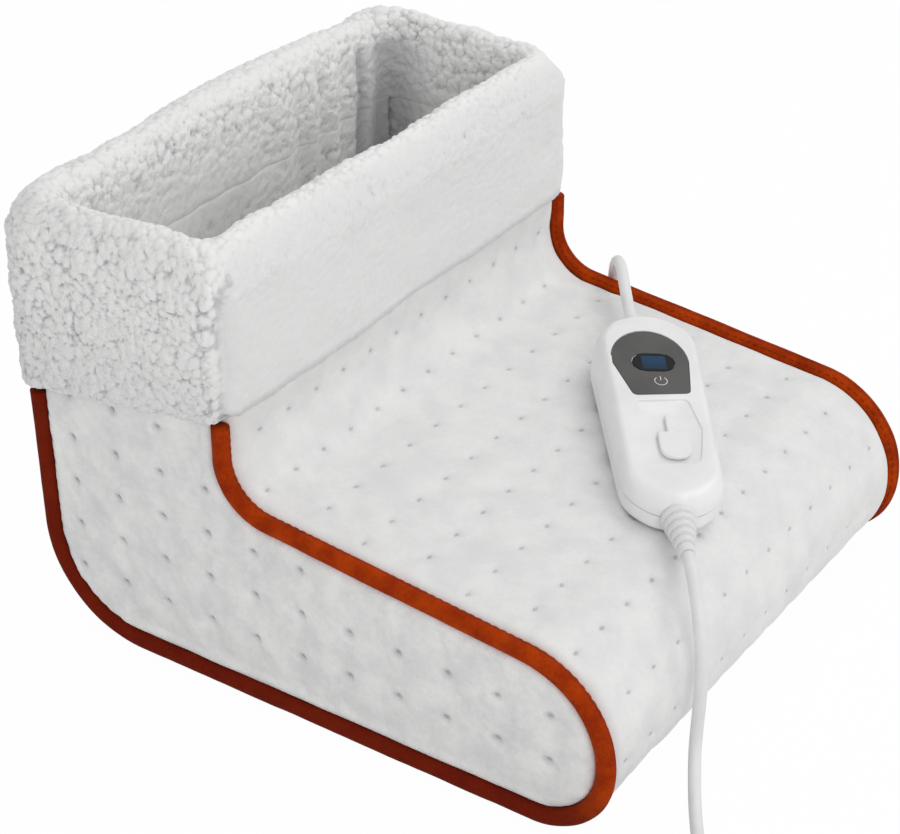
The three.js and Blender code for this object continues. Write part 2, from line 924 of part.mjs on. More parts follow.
function mirrored(geometry) {
  return facingOut(welded(geometry.clone().scale(-1, 1, 1)));
}

// Piping along the outline, from under the hem in front to under the hem behind
function piping(x) {
  const from = frontStation(hemHeightAt(shaftFrontY) - pipingStop);
  const to = backStation(hemHeightAt(heelTopY) - pipingStop);
  const path = sideOutline.run(0, from, to).map((point) => new THREE.Vector3(x, point.x, point.y));
  return tube(path, pipingRadius, pipingSides);
}

// A curved panel of the shell, rolled down towards the piping on both sides
function shellBand(outer, inner, from, to) {
  const rolled = Array.from({ length: edgeRollSteps + 1 }, (_, k) => {
    const angle = (Math.PI * k) / (2 * edgeRollSteps);
    return {
      x: bandHalf - edgeRollWidth * (1 - Math.cos(angle)),
      drop: edgeRoll * (1 - Math.sin(angle)),
    };
  });
  const across = [...rolled.map(({ x, drop }) => ({ x: -x, drop })), ...rolled.slice().reverse()];
  const rings = across.map(({ x, drop }) =>
    sideOutline.band(outer - drop, inner, from, to).map((point) => new THREE.Vector3(point.x, point.y, x)),
  );
  return skin(rings).applyMatrix4(acrossFrame);
}

function shell() {
  const upper = shellBand(bandProud, bandInner, 0, toeSeam - gap / 2);
  const back = shellBand(bandProud, bandInner, heelSeam + gap / 2, sideOutline.length);
  const sole = shellBand(soleRise, soleInner, toeSeam + gap / 2, heelSeam - gap / 2);
  const ankleEnd = sideOutline.arcStation(1, true);
  const ankleY = sideOutline.at(0, ankleEnd).x;
  const rowStation = ankleEnd + (ankleY - tuftFirstRowY) * Math.hypot(1, instepSlope);
  const upperTufts = bandTufts(frontStation(hemHeightAt(shaftFrontY)), toeSeam, rowStation);
  const backTufts = bandTufts(heelSeam, backStation(hemHeightAt(heelTopY)), heelSeam + tuftRowPitch / 2);
  const side = sidePanel();
  return group([
    named('upper_panel', quilted(upper, upperTufts), 'fabric'),
    named('back_panel', quilted(back, backTufts), 'fabric'),
    named('sole_panel', sole, 'soleFabric'),
    named('side_panel_left', mirrored(side), 'fabric'),
    named('side_panel_right', cut(side, [glandHole()]), 'fabric'),
    named('edge_piping_left', piping(-pipingX), 'piping'),
    named('edge_piping_right', piping(pipingX), 'piping'),
  ]);
}

// Plan of one face of the collar, with the same number of points whatever its size
function collarPlan(half, front, back, nearRadius, farRadius, bow = 0) {
  const outline = new Outline(
    [
      { x: -half, y: front, radius: nearRadius, steps: collarSteps },
      { x: half, y: front, radius: farRadius, steps: collarSteps },
      { x: half, y: back, radius: farRadius, steps: collarSteps },
      { x: -half, y: back, radius: farRadius, steps: collarSteps },
    ],
    true,
  );
  const arcs = collarSpans.map((_, i) => outline.arc(i, 0));
  return arcs.flatMap((arc, i) => {
    const last = arc[arc.length - 1];
    const next = arcs[(i + 1) % arcs.length][0];
    const between = Array.from({ length: collarSpans[i] - 1 }, (_, k) => {
      const share = (k + 1) / collarSpans[i];
      const bulge = i === collarBackEdge ? (bow * (1 - Math.cos(2 * Math.PI * share))) / 2 : 0;
      return last.clone().lerp(next, share).add(new THREE.Vector2(0, bulge));
    });
    return [...arc, ...between];
  });
}

// The collar folds over the top of the shell: an upside-down U all the way round
function collar() {
  const near = collarNearRadius;
  const far = collarFarRadius;
  const outer = collarPlan(collarHalf, collarFront, collarBack, near, far, collarBow);
  const hem = collarPlan(
    collarHalf - hemRollDepth,
    collarFront + hemRollDepth,
    collarBack - hemRollDepth,
    near - hemRollDepth,
    far - hemRollDepth,
    collarBow,
  );
  const slotOuter = collarPlan(sideOuter + gap, slotFront, slotBack, slotRadius, slotRadius);
  const legFront = shaftFrontY - bandInner + gap;
  const slotInner = collarPlan(liningSideOuter, legFront, innerLegBack, innerLegRadius, innerLegRadius);
  const inside = collarPlan(
    liningSideInner,
    legFront + liningDepth,
    innerLegBack - liningDepth,
    collarInnerRadius,
    collarInnerRadius,
  );
  const level = (plan, height) => plan.map((point) => new THREE.Vector3(point.x, point.y, height));
  const hanging = (plan, rise) =>
    plan.map((point, i) => new THREE.Vector3(point.x, point.y, hemHeightAt(outer[i].y) + rise));
  const crest = Array.from({ length: crestSteps - 1 }, (_, k) => {
    const angle = (Math.PI * (k + 1)) / crestSteps;
    const share = ((1 - Math.cos(angle)) / 2) ** (1 / crestLean);
    const height = crestBase + crestRise * Math.sin(angle);
    return level(outer.map((point, i) => point.clone().lerp(inside[i], share)), height);
  });
  return skin(
    [
      hanging(hem, 0),
      hanging(outer, hemRoll),
      level(outer, crestBase),
      ...crest,
      level(inside, crestBase),
      level(inside, collarInnerHem),
      level(slotInner, collarInnerHem),
      level(slotInner, shellHeight + gap),
      level(slotOuter, shellHeight + gap),
      hanging(slotOuter, 0),
    ],
    true,
  );
}

function lining() {
  const frontTop = frontStation(liningTop);
  const backTop = backStation(liningTop);
  const toeEnd = sideOutline.arcStation(3, true) - liningTuck;
  const heelEnd = sideOutline.arcStation(4, false) + liningTuck;
  const upper = sideOutline.band(liningOuterOffset, liningInnerOffset, frontTop, toeEnd);
  const back = sideOutline.band(liningOuterOffset, liningInnerOffset, heelEnd, backTop);
  const side = acrossBoot(clipped(sideOutline.points(liningOuterOffset), liningTop, false), liningDepth / 2);
  side.translate(liningSideInner + liningDepth / 2, 0, 0);
  const floor = clipped(sideOutline.points(liningInnerOffset - gap), liningSoleZ, true);
  const sole = acrossBoot(clipped(floor, liningSoleZ + liningSoleDepth, false), stackHalf);
  return group([
    named('collar_cuff', collar(), 'fleece'),
    named('liner_upper', acrossBoot(upper, stackHalf), 'lining'),
    named('liner_back', acrossBoot(back, stackHalf), 'lining'),
    named('liner_left', mirrored(side), 'lining'),
    named('liner_right', cut(side, [glandHole()]), 'lining'),
    named('liner_sole', cut(sole, [sleevePocket(liningSoleZ - overrun)]), 'lining'),
  ]);
}

// Room for the terminal sleeve, open to the side towards the gland
function sleevePocket(low) {
  const low3 = new THREE.Vector3(sleeveEnd - sleeveLength - gap, glandY - sleeveWidth / 2 - gap, low);
  const top = wireLayerZ + sleeveHeight + gap;
  return block(low3, new THREE.Vector3(stackHalf + overrun, glandY + sleeveWidth / 2 + gap, top));
}

function soleSheet(low, depth) {
  const plan = new Outline(
    [
      { x: -stackHalf, y: stackFront, radius: stackCorner, steps: cornerSteps },
      { x: stackHalf, y: stackFront, radius: stackCorner, steps: cornerSteps },
      { x: stackHalf, y: stackBack, radius: stackCorner, steps: cornerSteps },
      { x: -stackHalf, y: stackBack, radius: stackCorner, steps: cornerSteps },
    ],
    true,
  );
  return upright(plan.points(0), low, low + depth);
}

// The heating wire: from the sleeve to the toe, back in runs across, and into the sleeve again
function heatingWirePath() {
  const height = wireLayerZ + wireLayerDepth / 2;
  const at = (x, y) => new THREE.Vector3(x, y, height);
  const side = sleeveWidth / 2 + gap;
  const returnX = stackHalf - wireReturnInset;
  const turnX = stackHalf - wireTurnInset;
  const quarter = Math.PI / 2;
  const cornerAt = at(returnX - wireCornerRadius, wireFirstY + wireCornerRadius);
  const path = [at(returnX, glandY - side)];
  path.push(...arcPoints(cornerAt, wireCornerRadius, 0, -quarter, wireTurnSteps));
  for (let run = 0; run < wireRuns - 1; run += 1) {
    const way = run % 2 === 0 ? -1 : 1;
    const centre = at(way * turnX, wireFirstY + (run + 0.5) * wirePitch);
    path.push(...arcPoints(centre, wirePitch / 2, -quarter, -quarter + way * 2 * quarter, wireTurnSteps));
  }
  const lastRadius = wirePitch / 2 - side;
  path.push(...arcPoints(at(wireLastCornerX, glandY + side), lastRadius, quarter, 0, wireTurnSteps));
  return path;
}

function heatedSole() {
  const cutouts = cutoutRuns.map((run, i) => {
    const y = wireFirstY + run * wirePitch;
    const body = pad(0, y, cutoutLength, cutoutWidth, wireLayerZ, wireLayerZ + wireLayerDepth);
    return named(`thermal_cutout_${i + 1}`, body, 'dark');
  });
  const sleeveX = sleeveEnd - sleeveLength / 2;
  const sleeve = pad(sleeveX, glandY, sleeveLength, sleeveWidth, wireLayerZ, wireLayerZ + sleeveHeight);
  const leadFrom = sleeveEnd + gap;
  const leadTo = liningSideInner - gap;
  const lead = new THREE.CylinderGeometry(innerLeadRadius, innerLeadRadius, leadTo - leadFrom, roundSides);
  lead.rotateZ(Math.PI / 2).translate((leadFrom + leadTo) / 2, glandY, glandHeight - innerLeadDrop);
  const upperFelt = cut(soleSheet(upperFeltZ, feltDepth), [sleevePocket(upperFeltZ - overrun)]);
  return group([
    named('insole_foam', soleSheet(foamZ, foamDepth), 'foam'),
    named('heater_felt_lower', soleSheet(lowerFeltZ, feltDepth), 'felt'),
    named('heating_wire', tube(heatingWirePath(), wireRadius, wireSides), 'wire'),
    ...cutouts,
    named('terminal_sleeve', sleeve, 'dark'),
    named('inner_lead', lead, 'cord'),
    named('heater_felt_upper', upperFelt, 'felt'),
  ]);
}

function cordGland() {
  const neck = sideOuter + gap - liningSideInner;
  const body = turned([
    [0, -neck],
    [glandNeckRadius, -neck],
    [glandNeckRadius, 0],
    [glandFlangeRadius, 0],
    [glandFlangeRadius, glandFlangeDepth],
    ...ribbedSleeve(glandSleeveRadius, reliefTipRadius, glandLength, glandRibs).map(([radius, height]) => [
      radius,
      height + glandFlangeDepth,
    ]),
  ]);
  body.rotateZ(-Math.PI / 2).translate(sideOuter + gap, glandY, glandHeight);
  return named('cord_gland', body, 'cord');
}

// Height of the controller's face above its base
function faceHeightAt(y) {
  return THREE.MathUtils.lerp(tailHeight, headHeight, (y + housingHalf) / housingLength);
}

// Moves a piece drawn on the level onto the sloping face
function onFace(geometry) {
  return geometry.rotateX(faceSlope).translate(0, 0, faceHeightAt(0));
}

const housingPlan = new Outline(
  [
    { x: housingNoseWidth / 2, y: -housingHalf, radius: noseRadius, steps: cornerSteps },
    { x: housingTailWidth / 2, y: shoulderY, radius: shoulderRadius, steps: cornerSteps },
    { x: housingHeadWidth / 2, y: housingHalf, radius: headRadius, steps: housingSteps },
    { x: -housingHeadWidth / 2, y: housingHalf, radius: headRadius, steps: housingSteps },
    { x: -housingTailWidth / 2, y: shoulderY, radius: shoulderRadius, steps: cornerSteps },
    { x: -housingNoseWidth / 2, y: -housingHalf, radius: noseRadius, steps: cornerSteps },
  ],
  true,
);

function housingRing(inset, height) {
  return housingPlan.points(-inset).map((point) => new THREE.Vector3(point.x, point.y, height(point.y)));
}

// Outside or inside of the crowned upper half
function crown(wall, ceiling) {
  return crownHeightShares.map((share, i) => {
    const inset = wall + crownRound * crownInsetShares[i];
    return housingRing(inset, (y) => THREE.MathUtils.lerp(partingHeight, faceHeightAt(y) - ceiling, share));
  });
}

function roundedRectangle(x, y, width, height, radius) {
  const corner = { radius, steps: cornerSteps };
  return new Outline(
    [
      { x: x - width / 2, y: y - height / 2, ...corner },
      { x: x + width / 2, y: y - height / 2, ...corner },
      { x: x + width / 2, y: y + height / 2, ...corner },
      { x: x - width / 2, y: y + height / 2, ...corner },
    ],
    true,
  );
}

// The inlay has a domed head and narrows to a slanted foot
function inlayPlan() {
  const dome = new THREE.EllipseCurve(
    inlayCentreX,
    inlayCentreY,
    inlayHalfWidth,
    inlayTop - inlayCentreY,
    0,
    Math.PI,
  );
  const foot = { radius: inlayFootRadius, steps: cornerSteps };
  return new Outline(
    [
      ...dome.getPoints(inlaySteps).map((point) => ({ x: point.x, y: point.y })),
      { x: inlayFootLeft, y: inlayFoot, ...foot },
      { x: inlayFootRight, y: inlayFoot + inlayFootSkew, ...foot },
    ],
    true,
  );
}

function trackPlan() {
  const corner = { radius: trackRadius, steps: cornerSteps };
  return new Outline(
    [
      { x: trackLeftFoot, y: trackFoot, radius: trackRadius * 2, steps: cornerSteps },
      { x: trackRightFoot, y: trackFoot, radius: trackRadius * 2, steps: cornerSteps },
      { x: trackRightWaist, y: trackWaistY, ...corner },
      { x: trackRightTop, y: trackTop, ...corner },
      { x: trackLeftTop, y: trackTop - inlayFootSkew, ...corner },
    ],
    true,
  );
}

function bossPlaces() {
  return [headBossY, tailBossY].flatMap((y) => [-bossX, bossX].map((x) => ({ x, y })));
}

// Holes at both ends for the necks of the strain reliefs
function reliefHoles() {
  const length = baseWall + 2 * overrun;
  return [-1, 1].map((end) => {
    const radius = reliefNeckRadius + gap;
    const hole = new THREE.CylinderGeometry(radius, radius, length, roundSides);
    return hole.translate(0, end * (housingHalf + overrun - length / 2), partingHeight);
  });
}

function topShell() {
  const floor = housingRing(housingWall, () => partingHeight - overrun);
  const hollow = cut(skin(crown(0, 0)), [skin([floor, ...crown(housingWall, housingWall)])]);
  const bossFoot = boardTop + gap;
  const bosses = bossPlaces().map(({ x, y }) =>
    post(x, y, bossRadius, bossFoot, faceHeightAt(y) - housingWall / 2),
  );
  const bores = bossPlaces().map(({ x, y }) =>
    post(x, y, bossBore, bossFoot - overrun, bossFoot + screwReach + gap),
  );
  const recess = onFace(upright(inlayPlan().points(gap), -inlayDepth - gap, overrun));
  const track = onFace(upright(trackPlan().points(0), -trackDepth, overrun));
  const windowPlan = roundedRectangle(0, windowY, windowWidth, windowHeight, windowHeight / 2);
  const opening = onFace(upright(windowPlan.points(-windowLedge), -openingDepth, overrun));
  const slotLength = stemLength + sliderTravel + 2 * gap;
  const slotY = stemY + sliderTravel / 2;
  const slot = onFace(pad(sliderX, slotY, stemWidth + 2 * gap, slotLength, -openingDepth, overrun));
  const tools = [...bores, recess, track, opening, slot, ...reliefHoles()];
  return named('controller_top_shell', cut(join(hollow, bosses), tools), 'housing');
}

function baseShell() {
  const rings = Array.from({ length: baseRoundSteps + 1 }, (_, k) => {
    const angle = (Math.PI * k) / (2 * baseRoundSteps);
    const height = baseRoundHeight * (1 - Math.cos(angle));
    return housingRing(baseRound * (1 - Math.sin(angle)), () => height);
  });
  const top = partingHeight - gap;
  const body = skin([...rings, housingRing(0, () => top)]);
  const lip = upright(housingPlan.points(-housingWall - gap), top - overrun, partingHeight + lipHeight);
  const cavity = upright(housingPlan.points(-baseWall), housingWall, boardZ + overrun);
  const bosses = bossPlaces().map(({ x, y }) => post(x, y, bossFootRadius, housingWall / 2, boardZ - gap));
  const holes = bossPlaces().flatMap(({ x, y }) => [
    post(x, y, bossBore, -overrun, boardZ + overrun),
    post(x, y, counterbore, -overrun, counterboreDepth),
  ]);
  const shellBody = join(cut(join(body, [lip]), [cavity]), bosses);
  return named('controller_base_shell', cut(shellBody, [...holes, ...reliefHoles()]), 'housing');
}

function housingScrews() {
  const headTop = counterboreDepth - gap;
  const pairs = [
    [0, headTop - screwHeadDepth],
    [screwHeadRadius, headTop - screwHeadDepth],
    [screwHeadRadius, headTop],
    [screwShankRadius, headTop],
    [screwShankRadius, boardTop + gap + screwReach],
    [0, boardTop + gap + screwReach],
  ];
  return bossPlaces().map(({ x, y }, i) => {
    const body = turned(pairs).rotateX(Math.PI / 2).translate(x, y, 0);
    return named(`housing_screw_${i + 1}`, body, 'metal');
  });
}

function displayParts() {
  const windowPlan = roundedRectangle(0, windowY, windowWidth, windowHeight, windowHeight / 2);
  const sheet = onFace(upright(inlayPlan().points(0), -inlayDepth, 0));
  const opening = onFace(upright(windowPlan.points(0), -inlayDepth - overrun, overrun));
  const lens = onFace(upright(windowPlan.points(-gap), -inlayDepth, lensDepth - inlayDepth));
  const top = faceHeightAt(windowY - displayLength / 2) - housingWall - 2 * gap;
  const module = pad(0, windowY, displayWidth, displayLength, boardTop + gap, top);
  return [
    named('fascia', cut(sheet, [opening]), 'inlay'),
    named('display_lens', lens, 'lens'),
    named('display_module', module, 'dark'),
  ];
}

// The slider: a U-shaped pad with a tongue, on a stem that carries the wiper
function slider() {
  const left = sliderX - sliderWidth / 2;
  const right = sliderX + sliderWidth / 2;
  const foot = { radius: sliderFootRadius, steps: cornerSteps };
  const tip = { radius: sliderCorner, steps: cornerSteps };
  const plan = new Outline(
    [
      { x: left, y: sliderFoot, ...foot },
      { x: right, y: sliderFoot, ...foot },
      { x: right, y: sliderShoulder, ...tip },
      { x: sliderX + tongueWidth / 2, y: sliderShoulder },
      { x: sliderX + tongueWidth / 2, y: tongueTop, ...tip },
      { x: sliderX - tongueWidth / 2, y: tongueTop, ...tip },
      { x: sliderX - tongueWidth / 2, y: sliderShoulder },
      { x: left, y: sliderShoulder, ...tip },
    ],
    true,
  );
  const low = gap - trackDepth;
  const carrierTop = -housingWall - gap;
  const carrierLow = carrierTop - carrierDepth;
  const body = upright(plan.points(0), low, low + sliderRise, sliderEdge);
  const stem = pad(sliderX, stemY, stemWidth, stemLength, carrierLow, low + sliderEdge);
  const carrier = pad(sliderX, stemY, carrierWidth, carrierLength, carrierLow, carrierTop);
  const socketLow = carrierLow - overrun;
  const socket = pad(sliderX, stemY, stemWidth + 2 * gap, stemLength + 2 * gap, socketLow, 0);
  const wiperTop = carrierLow - gap;
  const wiper = pad(sliderX, stemY, wiperWidth, carrierLength, wiperTop - wiperDepth, wiperTop);
  return [
    named('slider_knob', onFace(join(body, [stem])), 'housing'),
    named('slider_carrier', onFace(cut(carrier, [socket])), 'dark'),
    named('wiper_contact', onFace(wiper), 'metal'),
  ];
}

// The slide switch under the wiper, its top parallel to the face
function slideSwitch() {
  const clear = housingWall + carrierDepth + wiperDepth + 4 * gap;
  const top = (y) => faceHeightAt(y) - clear / Math.cos(faceSlope);
  const section = [
    new THREE.Vector2(switchTail, boardTop + gap),
    new THREE.Vector2(switchHead, boardTop + gap),
    new THREE.Vector2(switchHead, top(switchHead)),
    new THREE.Vector2(switchTail, top(switchTail)),
  ];
  const body = acrossBoot(section, switchWidth / 2).translate(sliderX, 0, 0);
  return named('slide_switch', body, 'dark');
}

function circuitBoard() {
  const plan = housingPlan.points(-boardInset);
  const holes = bossPlaces().map(({ x, y }) => post(x, y, bossBore, boardZ - overrun, boardTop + overrun));
  const board = cut(upright(plan, boardZ, boardTop), holes);
  const low = boardTop + gap;
  const fuse = new THREE.CylinderGeometry(fuseRadius, fuseRadius, fuseLength, roundSides);
  fuse.rotateZ(Math.PI / 2).translate(0, fuseY, low + fuseRadius);
  const capacitor = pad(capacitorX, capacitorY, capacitorWidth, capacitorLength, low, low + capacitorHeight);
  const triac = pad(triacX, triacY, triacWidth, triacLength, low, low + triacHeight);
  const terminals = [terminalHeadY, terminalTailY].map((y, i) => {
    const body = pad(0, y, terminalWidth, terminalLength, low, low + terminalHeight);
    return named(['terminal_block_head', 'terminal_block_tail'][i], body, 'dark');
  });
  return [
    named('circuit_board', board, 'board'),
    named('fuse', fuse, 'metal'),
    named('capacitor', capacitor, 'dark'),
    named('triac', triac, 'dark'),
    ...terminals,
  ];
}

function strainReliefs() {
  const neck = baseWall + reliefSeat + 2 * gap;
  const head = wallRelief(reliefFlangeRadius, neck, headReliefRadius, headReliefLength, headReliefRibs);
  const tail = wallRelief(reliefFlangeRadius, neck, tailReliefRadius, tailReliefLength, tailReliefRibs);
  head.translate(0, housingHalf + gap, partingHeight);
  tail.rotateZ(Math.PI).translate(0, -housingHalf - gap, partingHeight);
  return [named('strain_relief_in', head, 'cord'), named('strain_relief_out', tail, 'cord')];
}

function controller() {
  const unit = group([
    topShell(),
    baseShell(),
    ...housingScrews(),
    ...displayParts(),
    ...slider(),
    slideSwitch(),
    ...circuitBoard(),
    ...strainReliefs(),
  ]);
  const surface = instepHeight + (controllerY - shaftFrontY) * instepSlope;
  const clear = (bandProud + controllerLift) * Math.hypot(1, instepSlope);
  unit.position.set(controllerX, controllerY, surface + clear);
  unit.rotateX(Math.atan(instepSlope));
  unit.rotateZ(-controllerTurn);
  unit.rotateX(controllerTilt);
  return unit;
}

// The coil winds in on the lower layer, climbs half a turn and winds out on the upper one
function coilPath() {
  const side = new THREE.Vector3(Math.sin(coilHeading), -Math.cos(coilHeading), 0);
  const ahead = new THREE.Vector3(Math.cos(coilHeading), Math.sin(coilHeading), 0);
  const start = new THREE.Vector3(coilStartX, coilStartY, coilHeight).addScaledVector(ahead, coilLead);
  const outerRadius = coilInnerRadius + coilPitch * coilTurnsIn;
  const centre = start.clone().addScaledVector(side, outerRadius);
  const steps = Math.round((coilTurnsIn + coilTurnsOut) * coilLoopSteps);
  const wound = Array.from({ length: steps + 1 }, (_, k) => {
    const turns = k / coilLoopSteps - coilTurnsIn;
    const angle = coilHeading + Math.PI / 2 - 2 * Math.PI * turns;
    const radius = coilInnerRadius + coilPitch * Math.abs(turns);
    const climb = THREE.MathUtils.smoothstep(turns, -1 / 4, 1 / 4);
    const around = new THREE.Vector3(Math.cos(angle), Math.sin(angle), 0);
    return centre.clone().addScaledVector(around, radius).addScaledVector(axisZ, coilLayer * climb);
  });
  const entry = start.clone().addScaledVector(ahead, -coilLead);
  return { centre, points: [entry, ...wound, ...coilTail(wound[steps])] };
}

const tailHeading = coilHeading - 2 * Math.PI * (coilTurnsIn + coilTurnsOut);
const tailWay = new THREE.Vector3(Math.cos(tailHeading), Math.sin(tailHeading), 0);

// Straight out of the coil, sinking to the height of the plug
function coilTail(from) {
  return Array.from({ length: tailSteps }, (_, k) => {
    const share = (k + 1) / tailSteps;
    const sink = THREE.MathUtils.smoothstep(share, 0, 1 - 1 / tailSteps);
    const point = from.clone().addScaledVector(tailWay, tailLength * share);
    point.z = THREE.MathUtils.lerp(from.z, plugHeight, sink);
    return point;
  });
}

// Least clear distance between parts of a path that are not neighbours
function leastGap(points, radius, skip) {
  let least = Infinity;
  for (let i = 0; i < points.length; i += 1) {
    for (let j = i + skip; j < points.length; j += 1) {
      const way = points[i + 1] ? points[i + 1].clone().sub(points[i]) : new THREE.Vector3();
      const share = way.lengthSq() ? points[j].clone().sub(points[i]).dot(way) / way.lengthSq() : 0;
      const foot = points[i].clone().addScaledVector(way, THREE.MathUtils.clamp(share, 0, 1));
      least = Math.min(least, foot.distanceTo(points[j]));
    }
  }
  return least - 2 * radius;
}

// A band round the bundle, opposite the half turn that climbs
function cordTie(centre) {
  const inner = coilInnerRadius + coilPitch / 2 - cordRadius - tieSlack;
  const outer = coilInnerRadius + coilPitch * (coilTurnsIn - 1 / 2) + cordRadius + tieSlack;
  const low = coilHeight - cordRadius - tieSlack;
  const high = coilHeight + coilLayer + cordRadius + tieSlack;
  const middle = new THREE.Vector2((inner + outer) / 2, (low + high) / 2);
  const hole = roundedRectangle(middle.x, middle.y, outer - inner, high - low, tieCorner - tieWall);
  const shape = new THREE.Shape(hole.points(tieWall));
  shape.holes = [new THREE.Path(hole.points(0))];
  const band = new THREE.ExtrudeGeometry(shape, { depth: tieWidth, bevelEnabled: false });
  band.translate(0, 0, -tieWidth / 2).rotateX(Math.PI / 2).rotateZ(coilHeading - Math.PI / 2);
  return named('cord_tie', band.translate(centre.x, centre.y, 0), 'dark');
}

// The plug lies flat, its relief towards the cord and its pins ahead, along Y
function plug(at) {
  const neck = { radius: plugCorner, steps: cornerSteps };
  const start = plugReliefLength;
  const plan = new Outline(
    [
      { x: plugNeckWidth / 2, y: start, ...neck },
      { x: plugWidth / 2, y: start + plugShoulder, ...neck },
      { x: plugWidth / 2, y: start + plugLength, ...neck },
      { x: -plugWidth / 2, y: start + plugLength, ...neck },
      { x: -plugWidth / 2, y: start + plugShoulder, ...neck },
      { x: -plugNeckWidth / 2, y: start, ...neck },
    ],
    true,
  );
  const shellBody = upright(plan.points(0), -plugThickness / 2, plugThickness / 2, plugEdge);
  const root = start + plugCorner;
  const sleeve = turned([
    [0, -root],
    [plugReliefRadius, -root],
    [plugReliefRadius, -start],
    ...ribbedSleeve(plugReliefRadius, reliefTipRadius, start, plugReliefRibs).map(([radius, height]) => [
      radius,
      height - start,
    ]),
  ]).rotateZ(Math.PI);
  const front = start + plugLength;
  const pinX = [-pinSpacing / 2, pinSpacing / 2];
  const along = (radius, low, high, x) => {
    const pin = new THREE.CylinderGeometry(radius, radius, high - low, roundSides);
    return pin.translate(x, (low + high) / 2, 0);
  };
  const sockets = pinX.map((x) => along(pinRadius + gap, front - pinSocket, front + overrun, x));
  const body = cut(join(shellBody, [sleeve]), sockets);
  const pins = pinX.map((x, i) => {
    const pin = turned([
      [0, front - pinSocket + gap],
      [pinRadius, front - pinSocket + gap],
      [pinRadius, front + pinLength - pinTip],
      [pinTipRadius, front + pinLength],
      [0, front + pinLength],
    ]);
    return named(`plug_pin_${i + 1}`, pin.translate(x, 0, 0), 'metal');
  });
  const unit = group([named('plug_body', body, 'cord'), ...pins]);
  unit.position.copy(at).addScaledVector(tailWay, gap);
  unit.rotateZ(tailHeading - Math.PI / 2);
  return unit;
}

function cords() {
  const { centre, points } = coilPath();
  const spacing = points[2].distanceTo(points[1]);
  const skip = Math.ceil((coilClear * cordRadius) / spacing) + 2;
  console.log(`Least gap of the coil to itself: ${leastGap(points, cordRadius, skip).toFixed(2)} mm`);
  return group([
    named('lead_cord', cordTube(leadRoute, leadSteps), 'cord'),
    named('mains_cord', cordTube(mainsRoute, mainsSteps), 'cord'),
    named('cord_coil', tube(points, cordRadius, coilSides), 'cord'),
    cordTie(centre),
    plug(points[points.length - 1]),
  ]);
}

export default group([shell(), lining(), heatedSole(), cordGland(), controller(), cords()]);
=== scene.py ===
"""Quilted foot warmer with a fleece collar, a rust tape edging and a corded hand control."""

import logging
import math
from dataclasses import dataclass
from enum import Enum
from typing import Callable, Sequence

import bmesh
import bpy
import numpy as np
from mathutils import Matrix, Vector, geometry, kdtree


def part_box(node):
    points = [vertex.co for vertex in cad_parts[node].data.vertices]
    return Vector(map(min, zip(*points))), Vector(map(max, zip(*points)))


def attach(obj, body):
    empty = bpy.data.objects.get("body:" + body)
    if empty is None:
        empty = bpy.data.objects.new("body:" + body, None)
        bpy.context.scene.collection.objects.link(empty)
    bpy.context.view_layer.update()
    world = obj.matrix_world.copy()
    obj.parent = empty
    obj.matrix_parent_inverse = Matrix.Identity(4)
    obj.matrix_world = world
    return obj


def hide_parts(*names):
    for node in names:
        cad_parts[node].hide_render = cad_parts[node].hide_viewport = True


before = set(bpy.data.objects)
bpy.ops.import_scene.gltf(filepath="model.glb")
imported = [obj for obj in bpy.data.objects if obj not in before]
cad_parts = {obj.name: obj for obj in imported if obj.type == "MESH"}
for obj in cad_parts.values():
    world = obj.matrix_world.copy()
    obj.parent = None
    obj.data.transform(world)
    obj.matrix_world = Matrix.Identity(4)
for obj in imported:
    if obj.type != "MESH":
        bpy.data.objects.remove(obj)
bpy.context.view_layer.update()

log = logging.getLogger("foot_warmer")
Points = np.ndarray
Piece = bpy.types.Object
Mesh = bpy.types.Mesh
Socket = bpy.types.NodeSocket
Pair = tuple[float, float]
Triple = tuple[float, float, float]
MM = 0.001


# Patterns in numbers


def lattice(cells: Points, seed: int) -> Points:
    """Even random numbers for whole-number cells.

    Args:
        cells: Whole numbers, three to a row.
        seed: Chooses the pattern.

    Returns:
        One number from 0 to 1 for each row.
    """
    mixed = (cells[..., 0] * 73856093) ^ (cells[..., 1] * 19349663) ^ (cells[..., 2] * 83492791)
    mixed = (mixed ^ (seed * 2654435)) & 0x7FFFFFFF
    mixed = ((mixed ^ (mixed >> 13)) * 1274126177) & 0x7FFFFFFF
    mixed = ((mixed ^ (mixed >> 15)) * 69069) & 0x7FFFFFFF
    return ((mixed >> 4) & 0xFFFFF) / float(0x100000)


def soft_noise(points: Points, size: float, seed: int) -> Points:
    """Smooth noise in space.

    Args:
        points: Places in metres, three to a row.
        size: Size of one bump in metres.
        seed: Chooses the pattern.

    Returns:
        One number from -1 to 1 for each place.
    """
    scaled = points / size
    base = np.floor(scaled).astype(np.int64)
    part = scaled - base
    part = part * part * (3 - 2 * part)
    total = np.zeros(len(points))
    for corner in np.ndindex(2, 2, 2):
        step = np.array(corner)
        weight = np.prod(np.where(step == 1, part, 1 - part), axis=1)
        total += weight * lattice(base + step, seed)
    return 2 * total - 1


